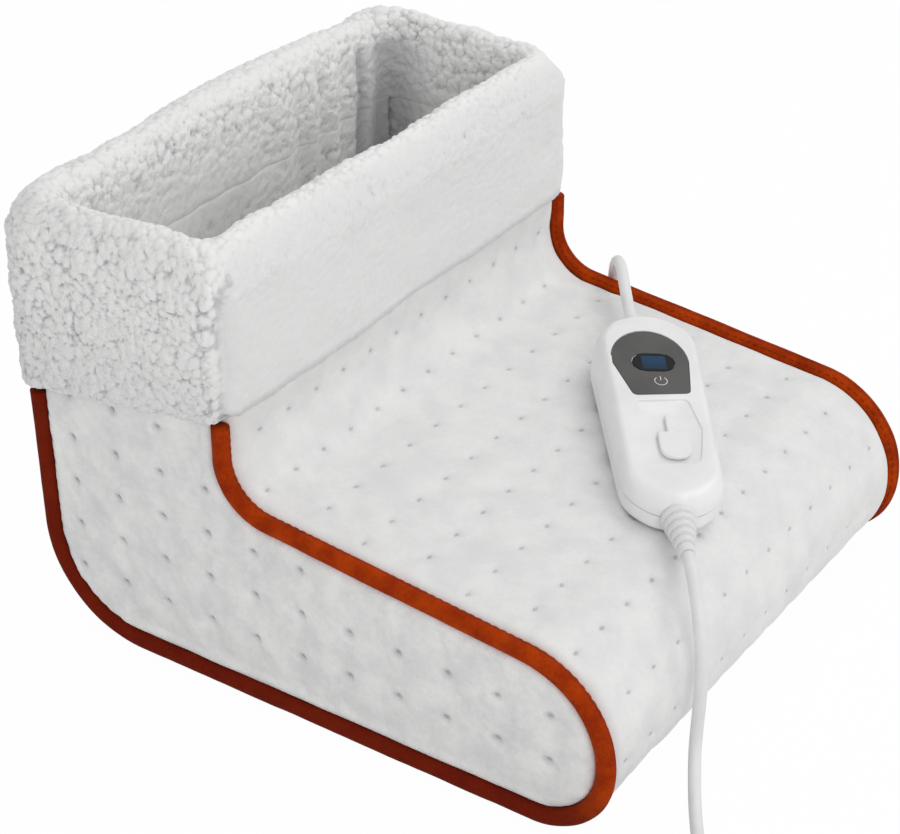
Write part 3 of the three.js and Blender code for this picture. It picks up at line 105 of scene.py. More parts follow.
def tufted(points: Points, size: float, seed: int, crease_width: float = 0.36, dome: float = 0.85) -> Points:
    """Rounded clumps in space, as curly pile forms them.

    Args:
        points: Places in metres, three to a row.
        size: Distance between clumps in metres.
        seed: Chooses the pattern.
        crease_width: Width of a crease as a share of the size.
        dome: Radius of a clump as a share of the size.

    Returns:
        Height from 0 in the creases to 1 on top of a clump.
    """
    scaled = points / size
    base = np.floor(scaled).astype(np.int64)
    first = second = np.full(len(points), np.inf)
    for offset in np.ndindex(3, 3, 3):
        cell = base + np.array(offset) - 1
        spot = cell + np.stack([lattice(cell, seed + k) for k in range(3)], axis=1)
        away = np.linalg.norm(scaled - spot, axis=1)
        nearer = away < first
        second = np.where(nearer, first, np.minimum(second, away))
        first = np.where(nearer, away, first)
    crease = 1 - (1 - np.clip((second - first) / crease_width, 0, 1)) ** 2
    return 0.5 * np.sqrt(np.clip(crease, 0, 1)) + 0.5 * np.clip(1 - (first / dome) ** 2, 0, 1)


def curls(points: Points, size: float, seed: int) -> Points:
    """Height of a curly pile, from 0 to 1: big clumps with small curls on them.

    Args:
        points: Places in metres, three to a row.
        size: Distance between the big clumps in metres.
        seed: Chooses the pattern.

    Returns:
        Height from 0 to 1.
    """
    sway = size * np.stack([soft_noise(points, size * 1.7, seed + k) for k in range(3)], axis=1)
    big = tufted(points + 0.45 * sway, size, seed + 5)
    small = tufted(points + 0.3 * sway, size * 0.5, seed + 11)
    return 0.8 * big + 0.2 * small


def smooth_step(value: Points, low: float, high: float) -> Points:
    """Smooth change from 0 at low to 1 at high."""
    share = np.clip((value - low) / (high - low), 0, 1)
    return share * share * (3 - 2 * share)


def hump(value: Points, width: float) -> Points:
    """A soft hump of height 1 round zero."""
    return np.exp(-((value / width) ** 2))


def rounding(share: Points) -> Points:
    """Drop of a quarter round, from 0 at share 0 to 1 at share 1."""
    return 1 - np.sqrt(np.clip(1 - share**2, 0, 1))


def upright(across: Points | float, flat: Points) -> Points:
    """Places in space from a place across the boot and flat depth and height."""
    return np.column_stack([np.broadcast_to(across, len(flat)), flat])


# Outlines


@dataclass(frozen=True)
class Corner:
    """A corner of an outline, in metres, with the radius that rounds it."""

    x: float
    y: float
    radius: float = 0.0


class Outline:
    """Straight edges and rounded corners, anticlockwise, with the outside on the right."""

    def __init__(self, corners: Sequence[Corner], closed: bool = True) -> None:
        """Lays the straight edges and the arcs end to end.

        Args:
            corners: The corners in order.
            closed: Whether the last corner joins the first.
        """
        self.closed = closed
        count = len(corners)
        places = np.array([[c.x, c.y] for c in corners])
        ways = np.roll(places, -1, axis=0) - places
        ways /= np.linalg.norm(ways, axis=1)[:, None]
        out = np.stack([ways[:, 1], -ways[:, 0]], axis=1)
        starts, self.ends, self.arcs = places.copy(), places.copy(), [None] * count
        self.out, self.ways = out, ways
        for i, corner in enumerate(corners):
            if not closed and i in (0, count - 1):
                continue
            before, after, radius = ways[i - 1], ways[i], corner.radius
            turn = math.atan2(before[0] * after[1] - before[1] * after[0], float(before @ after))
            reach = radius * math.tan(abs(turn) / 2)
            side = math.copysign(1.0, turn)
            centre = places[i] - side * radius * (out[i - 1] + out[i]) / (1 + out[i - 1] @ out[i])
            angle = math.atan2(side * out[i - 1][1], side * out[i - 1][0])
            starts[i], self.ends[i] = places[i] - before * reach, places[i] + after * reach
            self.arcs[i] = (centre, radius, side, angle, turn)
        self.pieces: list[tuple[float, float, int, bool]] = []
        self.marks: dict[tuple[int, bool], float] = {}
        self.length = 0.0
        for i, arc in enumerate(self.arcs):
            self.marks[(i, False)] = self.length
            if arc is not None and arc[1] > 0:
                self.add(arc[1] * abs(arc[4]), i, True)
            self.marks[(i, True)] = self.length
            if closed or i < count - 1:
                self.add(float(np.linalg.norm(starts[(i + 1) % count] - self.ends[i])), i, False)

    def add(self, length: float, corner: int, is_arc: bool) -> None:
        """Lays one more stretch of the outline."""
        self.pieces.append((self.length, length, corner, is_arc))
        self.length += length

    def frame(self, stations: Points) -> tuple[Points, Points]:
        """Places on the outline and the outward directions there.

        Args:
            stations: Distances along the outline in metres.

        Returns:
            Two arrays with a row for each station.
        """
        spots = np.zeros((len(stations), 2))
        normals = np.zeros((len(stations), 2))
        near = 1e-9
        for begin, length, i, is_arc in self.pieces:
            last = begin + length >= self.length - near
            chosen = ((stations >= begin - near) | (begin == 0)) & ((stations < begin + length) | last)
            along = stations[chosen] - begin
            if is_arc:
                centre, radius, side, angle, turn = self.arcs[i]
                swept = angle + turn * along / length
                way = np.stack([np.cos(swept), np.sin(swept)], axis=1)
                spots[chosen] = centre + radius * way
                normals[chosen] = side * way
            else:
                spots[chosen] = self.ends[i] + along[:, None] * self.ways[i]
                normals[chosen] = self.out[i]
        return spots, normals

    def line(self, offset: float, spacing: float) -> Points:
        """The outline moved outwards, in even steps.

        Args:
            offset: Distance outwards in metres.
            spacing: Distance between points in metres.

        Returns:
            The points, two numbers to a row.
        """
        count = max(8, round(self.length / spacing))
        spots, normals = self.frame(np.linspace(0, self.length, count, endpoint=not self.closed))
        return spots + offset * normals


# Meshes


def linked(name: str, data: bpy.types.ID) -> Piece:
    """A new object at the origin."""
    piece = bpy.data.objects.new(name, data)
    bpy.context.scene.collection.objects.link(piece)
    return piece


def make_piece(name: str, corners: Points, faces: Sequence[Sequence[int]]) -> Piece:
    """A smoothly shaded mesh object at the origin.

    Args:
        name: The piece's name.
        corners: Its vertices in metres.
        faces: Its faces as vertex numbers.

    Returns:
        The new object.
    """
    mesh = bpy.data.meshes.new(name)
    mesh.from_pydata([tuple(c) for c in corners.tolist()], [], [list(f) for f in faces])
    mesh.polygons.foreach_set("use_smooth", [True] * len(mesh.polygons))
    mesh.update()
    return linked(name, mesh)


def corners_of(mesh: Mesh) -> Points:
    """The vertices of a mesh, three numbers to a row."""
    flat = np.zeros(len(mesh.vertices) * 3)
    mesh.vertices.foreach_get("co", flat)
    return flat.reshape(-1, 3)


def normals_of(mesh: Mesh) -> Points:
    """The vertex normals of a mesh, three numbers to a row."""
    flat = np.zeros(len(mesh.vertices) * 3, np.float32)
    mesh.vertex_normals.foreach_get("vector", flat)
    return flat.reshape(-1, 3).astype(float)


def numbers_of(mesh: Mesh, label: str) -> Points:
    """The attribute of that name, one number for each vertex."""
    flat = np.zeros(len(mesh.vertices), np.float32)
    mesh.attributes[label].data.foreach_get("value", flat)
    return flat.astype(float)


def set_numbers(mesh: Mesh, **table: Points) -> None:
    """Writes attributes with one number for each vertex."""
    for label, values in table.items():
        mesh.attributes.new(label, "FLOAT", "POINT").data.foreach_set("value", values.astype(np.float32))


def move_corners(mesh: Mesh, corners: Points) -> None:
    """Puts the vertices of a mesh at new places."""
    mesh.vertices.foreach_set("co", corners.reshape(-1).astype(np.float32))
    mesh.update()


def settled(piece: Piece) -> Piece:
    """Turns a piece with its modifiers into a plain mesh.

    Args:
        piece: The piece.

    Returns:
        The same piece.
    """
    bpy.context.view_layer.update()
    graph = bpy.context.evaluated_depsgraph_get()
    mesh = bpy.data.meshes.new_from_object(piece.evaluated_get(graph), depsgraph=graph)
    piece.modifiers.clear()
    old = piece.data
    piece.data = mesh
    mesh.name = piece.name
    bpy.data.meshes.remove(old)
    return piece


def smooth_by_angle(mesh: Mesh, degrees: float) -> None:
    """Shades a mesh smoothly except over edges sharper than an angle.

    Args:
        mesh: The mesh.
        degrees: Edges sharper than this stay edges.
    """
    made = bmesh.new()
    made.from_mesh(mesh)
    bmesh.ops.remove_doubles(made, verts=made.verts, dist=1e-6)
    for face in made.faces:
        face.smooth = True
    for edge in made.edges:
        edge.smooth = len(edge.link_faces) == 2 and edge.calc_face_angle(0) < math.radians(degrees)
    made.to_mesh(mesh)
    made.free()
    mesh.update()


def ring_faces(rings: int, count: int, looped: bool, wrapped: bool = True) -> list[tuple[int, int, int, int]]:
    """Faces between rings of equal length.

    Args:
        rings: Number of rings.
        count: Points in each ring.
        looped: Whether the last ring joins the first.
        wrapped: Whether each ring is closed.

    Returns:
        Four vertex numbers for each face.
    """
    faces = []
    for r in range(rings if looped else rings - 1):
        here, there = r * count, ((r + 1) % rings) * count
        for i in range(count if wrapped else count - 1):
            j = (i + 1) % count
            faces.append((here + i, here + j, there + j, there + i))
    return faces


def outwards(piece: Piece) -> Piece:
    """Turns all faces of a closed piece outwards.

    Args:
        piece: The piece.

    Returns:
        The same piece.
    """
    made = bmesh.new()
    made.from_mesh(piece.data)
    bmesh.ops.recalc_face_normals(made, faces=made.faces)
    if made.calc_volume(signed=True) < 0:
        bmesh.ops.reverse_faces(made, faces=made.faces)
    made.to_mesh(piece.data)
    made.free()
    piece.data.update()
    return piece


def triangulated(points: Points, rim: int, edges: Sequence = (), reach: float = 1e-7) -> tuple[Points, list]:
    """Fills a flat outline with triangles.

    Args:
        points: The outline's points and then the others, two numbers to a row.
        rim: Number of points on the outline.
        edges: Pairs of points that the triangles follow.
        reach: Distance within which points are one.

    Returns:
        The flat points and the triangles.
    """
    given = [Vector(p) for p in points]
    made = geometry.delaunay_2d_cdt(given, list(edges), [list(range(rim))], 1, reach)
    return np.array([list(v) for v in made[0]]), [list(t) for t in made[2]]


def distances(line: Points) -> Points:
    """Distance of each point of a line from its start, along it."""
    return np.concatenate([[0], np.cumsum(np.linalg.norm(np.diff(line, axis=0), axis=1))])


def smooth_route(places: Sequence[Sequence[float]], spacing: float) -> Points:
    """A centripetal curve through given points, in even steps.

    Args:
        places: The points in metres.
        spacing: Distance between the new points in metres.

    Returns:
        The new points.
    """
    given = np.array(places, float)
    padded = np.concatenate([[2 * given[0] - given[1]], given, [2 * given[-1] - given[-2]]])
    dense = []
    for i in range(1, len(padded) - 2):
        p = padded[i - 1 : i + 3]
        knots = np.concatenate([[0], np.cumsum(np.sqrt(np.linalg.norm(np.diff(p, axis=0), axis=1)))])
        for t in np.linspace(knots[1], knots[2], 24, endpoint=i == len(padded) - 3):
            level = list(p)
            for spans in (((0, 1), (1, 2), (2, 3)), ((0, 2), (1, 3)), ((1, 2),)):
                shares = [(t - knots[a]) / (knots[b] - knots[a]) for a, b in spans]
                level = [(1 - share) * a + share * b for share, a, b in zip(shares, level, level[1:])]
            dense.append(level[0])
    line = np.array(dense)
    lengths = distances(line)
    even = np.linspace(0, lengths[-1], max(2, round(lengths[-1] / spacing) + 1))
    return np.stack([np.interp(even, lengths, line[:, k]) for k in range(3)], axis=1)


# Node trees


class Nodes:
    """Builds one material, shader group or geometry tree out of named nodes."""

    def __init__(self, tree: bpy.types.NodeTree) -> None:
        """Starts on an empty tree."""
        self.tree = tree
        self.tree.nodes.clear()

    def node(self, kind: str, **settings: object) -> bpy.types.Node:
        """Adds a node and sets its properties and inputs.

        Args:
            kind: The node's type.
            settings: Properties, or inputs given as name with underscores.

        Returns:
            The node.
        """
        made = self.tree.nodes.new(kind)
        for key in [key for key in settings if hasattr(made, key)]:
            setattr(made, key, settings.pop(key))
        self.fill(made, **settings)
        return made

    def fill(self, node: bpy.types.Node, **values: object) -> None:
        """Feeds inputs that are given as name with underscores."""
        for key, value in values.items():
            self.feed(node.inputs[key.replace("_", " ")], value)

    def feed(self, socket: Socket, value: object) -> None:
        """Links a socket, or sets its own value."""
        if isinstance(value, Socket):
            self.tree.links.new(value, socket)
        else:
            socket.default_value = value

    def maths(self, operation: str, a: object, b: object = 0.0, clamp: bool = False) -> Socket:
        """One sum on two numbers."""
        made = self.node("ShaderNodeMath", operation=operation, use_clamp=clamp)
        self.feed(made.inputs[0], a)
        self.feed(made.inputs[1], b)
        return made.outputs[0]

    def times(self, a: object, b: object) -> Socket:
        """Product of two numbers."""
        return self.maths("MULTIPLY", a, b)

    def weighted(self, first: object, share: float, second: object, other: float) -> Socket:
        """Sum of two numbers, each times its weight."""
        return self.maths("ADD", self.times(first, share), self.times(second, other))

    def mixed(self, share: object, a: object, b: object) -> Socket:
        """One colour between two."""
        made = self.node("ShaderNodeMix", data_type="RGBA", clamp_factor=True)
        for i, value in ((0, share), (6, a), (7, b)):
            self.feed(made.inputs[i], value)
        return made.outputs[2]

    def ramp(
        self, value: object, low: float, high: float, to_low: float = 0.0, to_high: float = 1.0
    ) -> Socket:
        """Maps one range onto another, with smooth ends."""
        made = self.node("ShaderNodeMapRange", interpolation_type="SMOOTHSTEP")
        for i, number in enumerate((value, low, high, to_low, to_high)):
            self.feed(made.inputs[i], number)
        return made.outputs[0]

    def noise(self, where: object, scale: object, detail: float = 2.0, roughness: float = 0.5) -> Socket:
        """Noise from 0 to 1."""
        settings = {"Vector": where, "Scale": scale, "Detail": detail, "Roughness": roughness}
        return self.node("ShaderNodeTexNoise", **settings).outputs[0]

    def place(self) -> Socket:
        """The place on the object, in metres."""
        return self.node("ShaderNodeTexCoord").outputs["Object"]

    def number(self, label: str) -> Socket:
        """An attribute of the mesh."""
        return self.node("ShaderNodeAttribute", attribute_name=label).outputs["Fac"]

    def bump(self, height: object, strength: float, distance: float) -> Socket:
        """A normal with that relief."""
        return self.node("ShaderNodeBump", Strength=strength, Distance=distance, Height=height).outputs[0]


def rgb(text: str) -> tuple[float, float, float, float]:
    """The linear colour, with full cover, of six hexadecimal digits of a screen value."""
    parts = [int(text[i : i + 2], 16) / 255 for i in (0, 2, 4)]
    linear = [p / 12.92 if p <= 0.04045 else ((p + 0.055) / 1.055) ** 2.4 for p in parts]
    return (*linear, 1.0)


class ShaderGroups:
    """Effects that several finishes share, each built once."""

    def __init__(self) -> None:
        """Builds nothing until it is asked for."""
        self.made: dict[str, bpy.types.NodeTree] = {}

    def start(
        self, name: str, second: str = "Shade", **inputs: float
    ) -> tuple[Nodes, dict[str, Socket], bpy.types.Node]:
        """Opens a new group with a place and numbers as inputs.

        Args:
            name: The group's name.
            second: Name of its second output, beside the height.
            inputs: Number sockets with their defaults.

        Returns:
            The tree's builder, the group's inputs by name, and its output node.
        """
        tree = bpy.data.node_groups.new(name, "ShaderNodeTree")
        face = tree.interface
        face.new_socket("Place", in_out="INPUT", socket_type="NodeSocketVector")
        for label, value in inputs.items():
            face.new_socket(label, in_out="INPUT", socket_type="NodeSocketFloat").default_value = value
        for label in ("Height", second):
            face.new_socket(label, in_out="OUTPUT", socket_type="NodeSocketFloat")
        nodes = Nodes(tree)
        return nodes, nodes.node("NodeGroupInput").outputs, nodes.node("NodeGroupOutput")

    def nap(self) -> bpy.types.NodeTree:
        """Brushed pile: fine fibres with softer patches where it lies differently.

        Returns:
            The group.
        """
        s, given, out = self.start("nap", Fibre=1400.0, Patch=60.0)
        fibre = s.noise(given["Place"], given["Fibre"], 3.0, 0.6)
        tuft = s.noise(given["Place"], s.times(given["Fibre"], 0.32))
        patch = s.noise(given["Place"], given["Patch"])
        s.fill(out, Height=s.weighted(fibre, 0.45, tuft, 0.55), Shade=s.weighted(patch, 0.7, tuft, 0.3))
        return s.tree

    def curl(self) -> bpy.types.NodeTree:
        """Small curls of a fleece pile.

        Returns:
            The group.
        """
        s, given, out = self.start("curl", "Crease", Size=420.0, Sway=0.0012)
        place, size = given["Place"], given["Size"]
        sway = s.node("ShaderNodeTexNoise", Scale=210.0, Detail=1.0, Vector=place)
        centred = s.node("ShaderNodeVectorMath", operation="SUBTRACT")
        s.feed(centred.inputs[0], sway.outputs["Color"])
        s.feed(centred.inputs[1], (0.5, 0.5, 0.5))
        scaled = s.node("ShaderNodeVectorMath", operation="SCALE", Scale=given["Sway"])
        s.feed(scaled.inputs[0], centred.outputs[0])
        bent = s.node("ShaderNodeVectorMath", operation="ADD")
        s.feed(bent.inputs[0], place)
        s.feed(bent.inputs[1], scaled.outputs[0])
        rounds, creases = [], []
        for share, width in ((1.0, 0.17), (2.0, 0.2)):
            settings = {"Vector": bent.outputs[0], "Scale": s.times(size, share)}
            cells = s.node("ShaderNodeTexVoronoi", feature="DISTANCE_TO_EDGE", **settings)
            away = cells.outputs["Distance"]
            rounds.append(s.ramp(away, 0.0, 0.42))
            creases.append(s.ramp(away, 0.0, width, 1.0, 0.0))
        fine = s.noise(bent.outputs[0], s.times(size, 4.2), 2.0, 0.6)
        both = s.weighted(rounds[0], 0.66, rounds[1], 0.24)
        patch = s.ramp(s.noise(place, 70.0, 1.0), 0.38, 0.62, 0.25, 1.0)
        # The crease lines are a mask for painted shade in the curls' creases.
        lines = s.maths("MAXIMUM", creases[0], s.times(creases[1], 0.5))
        s.fill(out, Height=s.maths("ADD", both, s.times(fine, 0.1)), Crease=s.times(lines, patch))
        return s.tree

    def weave(self) -> bpy.types.NodeTree:
        """Twill threads in the piece's own length and width, in metres.

        Returns:
            The group.
        """
        s, given, out = self.start("weave", Threads=1400.0)
        own = s.node("ShaderNodeSeparateXYZ", Vector=given["Place"]).outputs
        turned = s.maths("ADD", own[0], s.times(own[1], 0.6))
        crossing = s.maths("SUBTRACT", own[1], s.times(own[0], 0.25))
        angle = s.times(given["Threads"], 2 * math.pi)
        wave = s.maths("SINE", s.times(turned, angle))
        under = s.maths("SINE", s.times(crossing, s.times(angle, 0.8)))
        height = s.maths("ADD", s.weighted(wave, 0.36, under, 0.18), 0.5)
        s.fill(out, Height=height, Shade=s.maths("ADD", s.times(wave, 0.3), 0.5))
        return s.tree

    def grain(self) -> bpy.types.NodeTree:
        """Fine moulded grain with faint clouds."""
        s, given, out = self.start("grain", Fine=2600.0, Cloud=45.0)
        fine = s.noise(given["Place"], given["Fine"], 2.0, 0.6)
        s.fill(out, Height=fine, Shade=s.noise(given["Place"], given["Cloud"], 3.0))
        return s.tree

    def placed(self, s: Nodes, effect: Callable, place: object, **values: float) -> dict[str, Socket]:
        """Puts a group in a material.

        Args:
            s: The material's builder.
            effect: The method that builds the group.
            place: The socket with the coordinates.
            values: Numbers for its inputs.

        Returns:
            The group's outputs by name.
        """
        if effect.__name__ not in self.made:
            self.made[effect.__name__] = effect()
        made = s.node("ShaderNodeGroup", node_tree=self.made[effect.__name__])
        s.fill(made, Place=place, **values)
        return made.outputs


GROUPS = ShaderGroups()


# Finishes


@dataclass(frozen=True)
class Finish:
    """A finish of the foot warmer: a name, two tones of its colour and its roughness."""

    name: str
    light: str
    dark: str
    roughness: float = 0.8

    def begin(self) -> tuple[bpy.types.Material, Nodes, bpy.types.Node]:
        """Starts the material.

        Returns:
            The material, its builder and its surface shader.
        """
        material = bpy.data.materials.new(self.name)
        material.use_nodes = True
        material.diffuse_color = rgb(self.light)
        nodes = Nodes(material.node_tree)
        surface = nodes.node("ShaderNodeBsdfPrincipled")
        nodes.node("ShaderNodeOutputMaterial", Surface=surface.outputs[0])
        return material, nodes, surface

    def toned(self, s: Nodes, shade: Socket, low: float, high: float) -> Socket:
        """The finish's two tones, mixed by a shade between two levels."""
        return s.mixed(s.ramp(shade, low, high), rgb(self.dark), rgb(self.light))

    def make(self) -> bpy.types.Material:
        """The material itself."""
        raise NotImplementedError


@dataclass(frozen=True)
class Plush(Finish):
    """Short brushed fabric, darker in the pressed spots: partly the pressed fabric's own tone, partly painted
    shade in the dimples.
    """

    fibre: float = 1300.0
    # Colour of the pressed spots, which also serves as painted shade in their dimples.
    pressed: str = "9c9c9f"
    strength: float = 0.35
    depth: float = 0.00035

    def make(self) -> bpy.types.Material:
        """The material itself.

        Returns:
            The material.
        """
        material, s, surface = self.begin()
        nap = GROUPS.placed(s, GROUPS.nap, s.place(), Fibre=self.fibre, Patch=55.0)
        # The pressed attribute mixes in that colour: partly the pressed fabric's tone, partly painted shade
        # in the dimples.
        spots = s.ramp(s.number("pressed"), 0.05, 1.0)
        s.fill(
            surface,
            Base_Color=s.mixed(spots, self.toned(s, nap["Shade"], 0.3, 0.72), rgb(self.pressed)),
            Roughness=s.ramp(nap["Height"], 0.2, 0.8, 0.82, 0.98),
            Sheen_Weight=0.25,
            Sheen_Roughness=0.45,
            Specular_IOR_Level=0.2,
            Normal=s.bump(nap["Height"], self.strength, self.depth),
        )
        return material


@dataclass(frozen=True)
class Fleece(Finish):
    """Curly pile with shade in its creases."""

    size: float = 330.0
    depth: float = 0.0012

    def make(self) -> bpy.types.Material:
        """The material itself.

        Returns:
            The material.
        """
        material, s, surface = self.begin()
        place, lively = s.place(), s.number("lively")
        curl = GROUPS.placed(s, GROUPS.curl, place, Size=self.size, Sway=0.0034)
        nap = GROUPS.placed(s, GROUPS.nap, place, Fibre=2400.0, Patch=40.0)
        # Painted shade: the pile's low places and the curls' creases are darkened as strongly as the lively
        # attribute says, and the gloom attribute adds painted shade in hollows.
        hollow = s.weighted(s.ramp(s.number("pile"), 0.08, 0.72, 1.0, 0.0), 0.95, curl["Crease"], 0.12)
        creases = s.maths("MULTIPLY", hollow, lively, clamp=True)
        shade = s.maths("MAXIMUM", creases, s.times(s.number("gloom"), 0.6))
        height = s.weighted(s.times(curl["Height"], lively), 0.9, nap["Height"], 0.1)
        s.fill(
            surface,
            Base_Color=s.mixed(shade, rgb(self.light), rgb(self.dark)),
            Roughness=s.ramp(nap["Height"], 0.2, 0.8, 0.88, 1.0),
            Sheen_Weight=0.35,
            Sheen_Roughness=0.5,
            Specular_IOR_Level=0.15,
            Normal=s.bump(height, 0.45, self.depth),
        )
        return material


@dataclass(frozen=True)
class Tape(Finish):
    """Folded woven tape, with its threads along the piece's own length, and painted shade where it faces down
    and back.
    """

    threads: float = 1300.0
    # Colour of the painted shade on the tape's runs that face down and back.
    under: str = "5c0e05"

    def make(self) -> bpy.types.Material:
        """The material itself.

        Returns:
            The material.
        """
        material, s, surface = self.begin()
        own = s.node("ShaderNodeUVMap").outputs[0]
        weave = GROUPS.placed(s, GROUPS.weave, own, Threads=self.threads)
        nap = GROUPS.placed(s, GROUPS.nap, s.place(), Fibre=1800.0, Patch=90.0)
        tone = s.mixed(s.times(weave["Shade"], 0.35), self.toned(s, nap["Shade"], 0.3, 0.7), rgb(self.dark))
        s.fill(
            surface,
            # Painted shade: the under attribute darkens the tape towards the under colour where it faces down
            # and back.
            Base_Color=s.mixed(s.times(s.number("under"), 0.8), tone, rgb(self.under)),
            Roughness=s.ramp(weave["Height"], 0.0, 1.0, 0.95, 0.72),
            Specular_IOR_Level=0.1,
            Normal=s.bump(s.weighted(weave["Height"], 0.6, nap["Height"], 0.4), 0.7, 0.00035),
        )
        return material


@dataclass(frozen=True)
class Moulded(Finish):
    """Moulded plastic or rubber with a fine grain."""

    coat: float = 0.0
    fine: float = 2600.0
    relief: float = 0.00006

    def make(self) -> bpy.types.Material:
        """The material itself.

        Returns:
            The material.
        """
        material, s, surface = self.begin()
        grain = GROUPS.placed(s, GROUPS.grain, s.place(), Fine=self.fine, Cloud=45.0)
        s.fill(
            surface,
            Base_Color=self.toned(s, grain["Shade"], 0.35, 0.65),
            Roughness=s.ramp(grain["Height"], 0.25, 0.75, self.roughness - 0.05, self.roughness + 0.06),
            Coat_Weight=self.coat,
            Coat_Roughness=0.12,
            Normal=s.bump(grain["Height"], 0.35, self.relief),
        )
        return material


@dataclass(frozen=True)
class Metal(Finish):
    """Drawn metal with fine marks."""

    def make(self) -> bpy.types.Material:
        """The material itself.

        Returns:
            The material.
        """
        material, s, surface = self.begin()
        grain = GROUPS.placed(s, GROUPS.grain, s.place(), Fine=3400.0, Cloud=300.0)
        s.fill(
            surface,
            Base_Color=self.toned(s, grain["Shade"], 0.35, 0.65),
            Metallic=1.0,
            Roughness=s.ramp(grain["Height"], 0.2, 0.8, self.roughness - 0.06, self.roughness + 0.08),
            Normal=s.bump(grain["Height"], 0.25, 0.00004),
        )
        return material


@dataclass(frozen=True)
class LitWindow(Finish):
    """Smoked window with a lit field behind it."""

    glow: str = "16557c"

    def make(self) -> bpy.types.Material:
        """The material itself.

        Returns:
            The material.
        """
        material, s, surface = self.begin()
        across, upward = s.number("screen_across"), s.number("screen_up")
        between_sides = s.ramp(s.maths("ABSOLUTE", across), 0.0052, 0.0066, 1.0, 0.0)
        inside = s.times(between_sides, s.ramp(s.maths("ABSOLUTE", upward), 0.0043, 0.0056, 1.0, 0.0))
        cloud = s.ramp(s.noise(s.place(), 520.0, 1.0), 0.2, 0.8, 0.7, 1.0)
        level = s.times(s.ramp(upward, -0.0055, 0.004, 0.25, 1.0), cloud)
        s.fill(
            surface,
            Base_Color=s.mixed(s.times(inside, 0.8), rgb(self.dark), rgb(self.light)),
            Emission_Color=s.mixed(s.times(inside, level), (0, 0, 0, 1), rgb(self.glow)),
            Emission_Strength=0.3,
            Roughness=self.roughness,
            Specular_IOR_Level=0.18,
        )
        return material


class Finishes(Enum):
    """The finishes of the foot warmer by the record's slots."""

    SHELL = Plush("quilted_plush", "eeeeed", "e4e4e4")
    BRUSHED = Plush("brushed_plush", "f3f3f2", "e2e2e2", fibre=950.0, strength=0.7, depth=0.0009)
    PALE_WELD = Plush("pale_pressed_spot", "d0d0d1", "bdbdbf")
    WELD = Plush("pressed_spot", "c2c2c4", "acacaf")
    # The fleeces' dark tones are the colour of their painted shade.
    COLLAR = Fleece("collar_fleece", "f6f6f5", "929296")
    LINING = Fleece("lining_fleece", "f5f5f4", "8a8a8d")
    SOLE = Plush("sole_cloth", "cfcecd", "bdbcbb", fibre=1000.0)
    DOTS = Moulded("grip_dots", "8f9092", "7f8082", roughness=0.6)
    TAPE = Tape("rust_tape", "bd4200", "922a00")
    THREAD = Tape("rust_thread", "9c2f02", "7c2100", threads=2600.0)
    HOUSING = Moulded("white_plastic", "efefef", "e9e9ea", roughness=0.36, coat=0.15)
    INLAY = Moulded("grey_inlay", "474645", "3d3c3b", roughness=0.45)
    INLAY_EDGE = Moulded("pale_print", "d8d8d8", "cfcfcf", roughness=0.5)
    LENS = LitWindow("smoked_window", "0d2c44", "07090d", roughness=0.16)
    RUBBER = Moulded("cord_rubber", "e9e9e9", "e2e2e3", roughness=0.46)
    FELT = Plush("needled_felt", "c9c5be", "a29d95", fibre=900.0)
    FOAM = Moulded("open_foam", "ddd7c6", "cbc4b1", roughness=0.95, fine=900.0, relief=0.0006)
    WIRE = Moulded("wire_jacket", "ebe9e2", "dedbd1", roughness=0.6)
    BOARD = Moulded("green_board", "256b43", "1a5535", roughness=0.5)
    DARK = Moulded("dark_plastic", "2d2d31", "222226", roughness=0.5)
    METAL = Metal("bright_metal", "c6c8ca", "a9abad", roughness=0.28)


class Wardrobe:
    """Makes each finish once and dresses pieces with it."""

    def __init__(self) -> None:
        """Starts with nothing made."""
        self.made: dict[Finishes, bpy.types.Material] = {}

    def get(self, finish: Finishes) -> bpy.types.Material:
        """The material of a finish."""
        if finish not in self.made:
            self.made[finish] = finish.value.make()
        return self.made[finish]

    def dress(self, piece: Piece, finish: Finishes, slot: str, *nodes: str, body: str = "boot") -> Piece:
        """Gives a new piece its finish and says what it is.

        Args:
            piece: The finished piece.
            finish: What it is made of.
            slot: The record's material slot; not used.
            nodes: CAD nodes that it stands for.
            body: The body that it rides on.

        Returns:
            The same piece.
        """
        piece.data.materials.clear()
        piece.data.materials.append(self.get(finish))
        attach(piece, body)
        if nodes:
            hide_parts(*nodes)
        log.info("%s: %s on %s", piece.name, finish.value.name, body)
        return piece

    def redress(self, finish: Finishes, *nodes: str) -> None:
        """Gives carried-over CAD nodes one finish in their material slots."""
        for name in nodes:
            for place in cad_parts[name].material_slots:
                place.material = self.get(finish)
        log.info("%s: %s", finish.value.name, ", ".join(nodes))


WARDROBE = Wardrobe()


# Repeated details


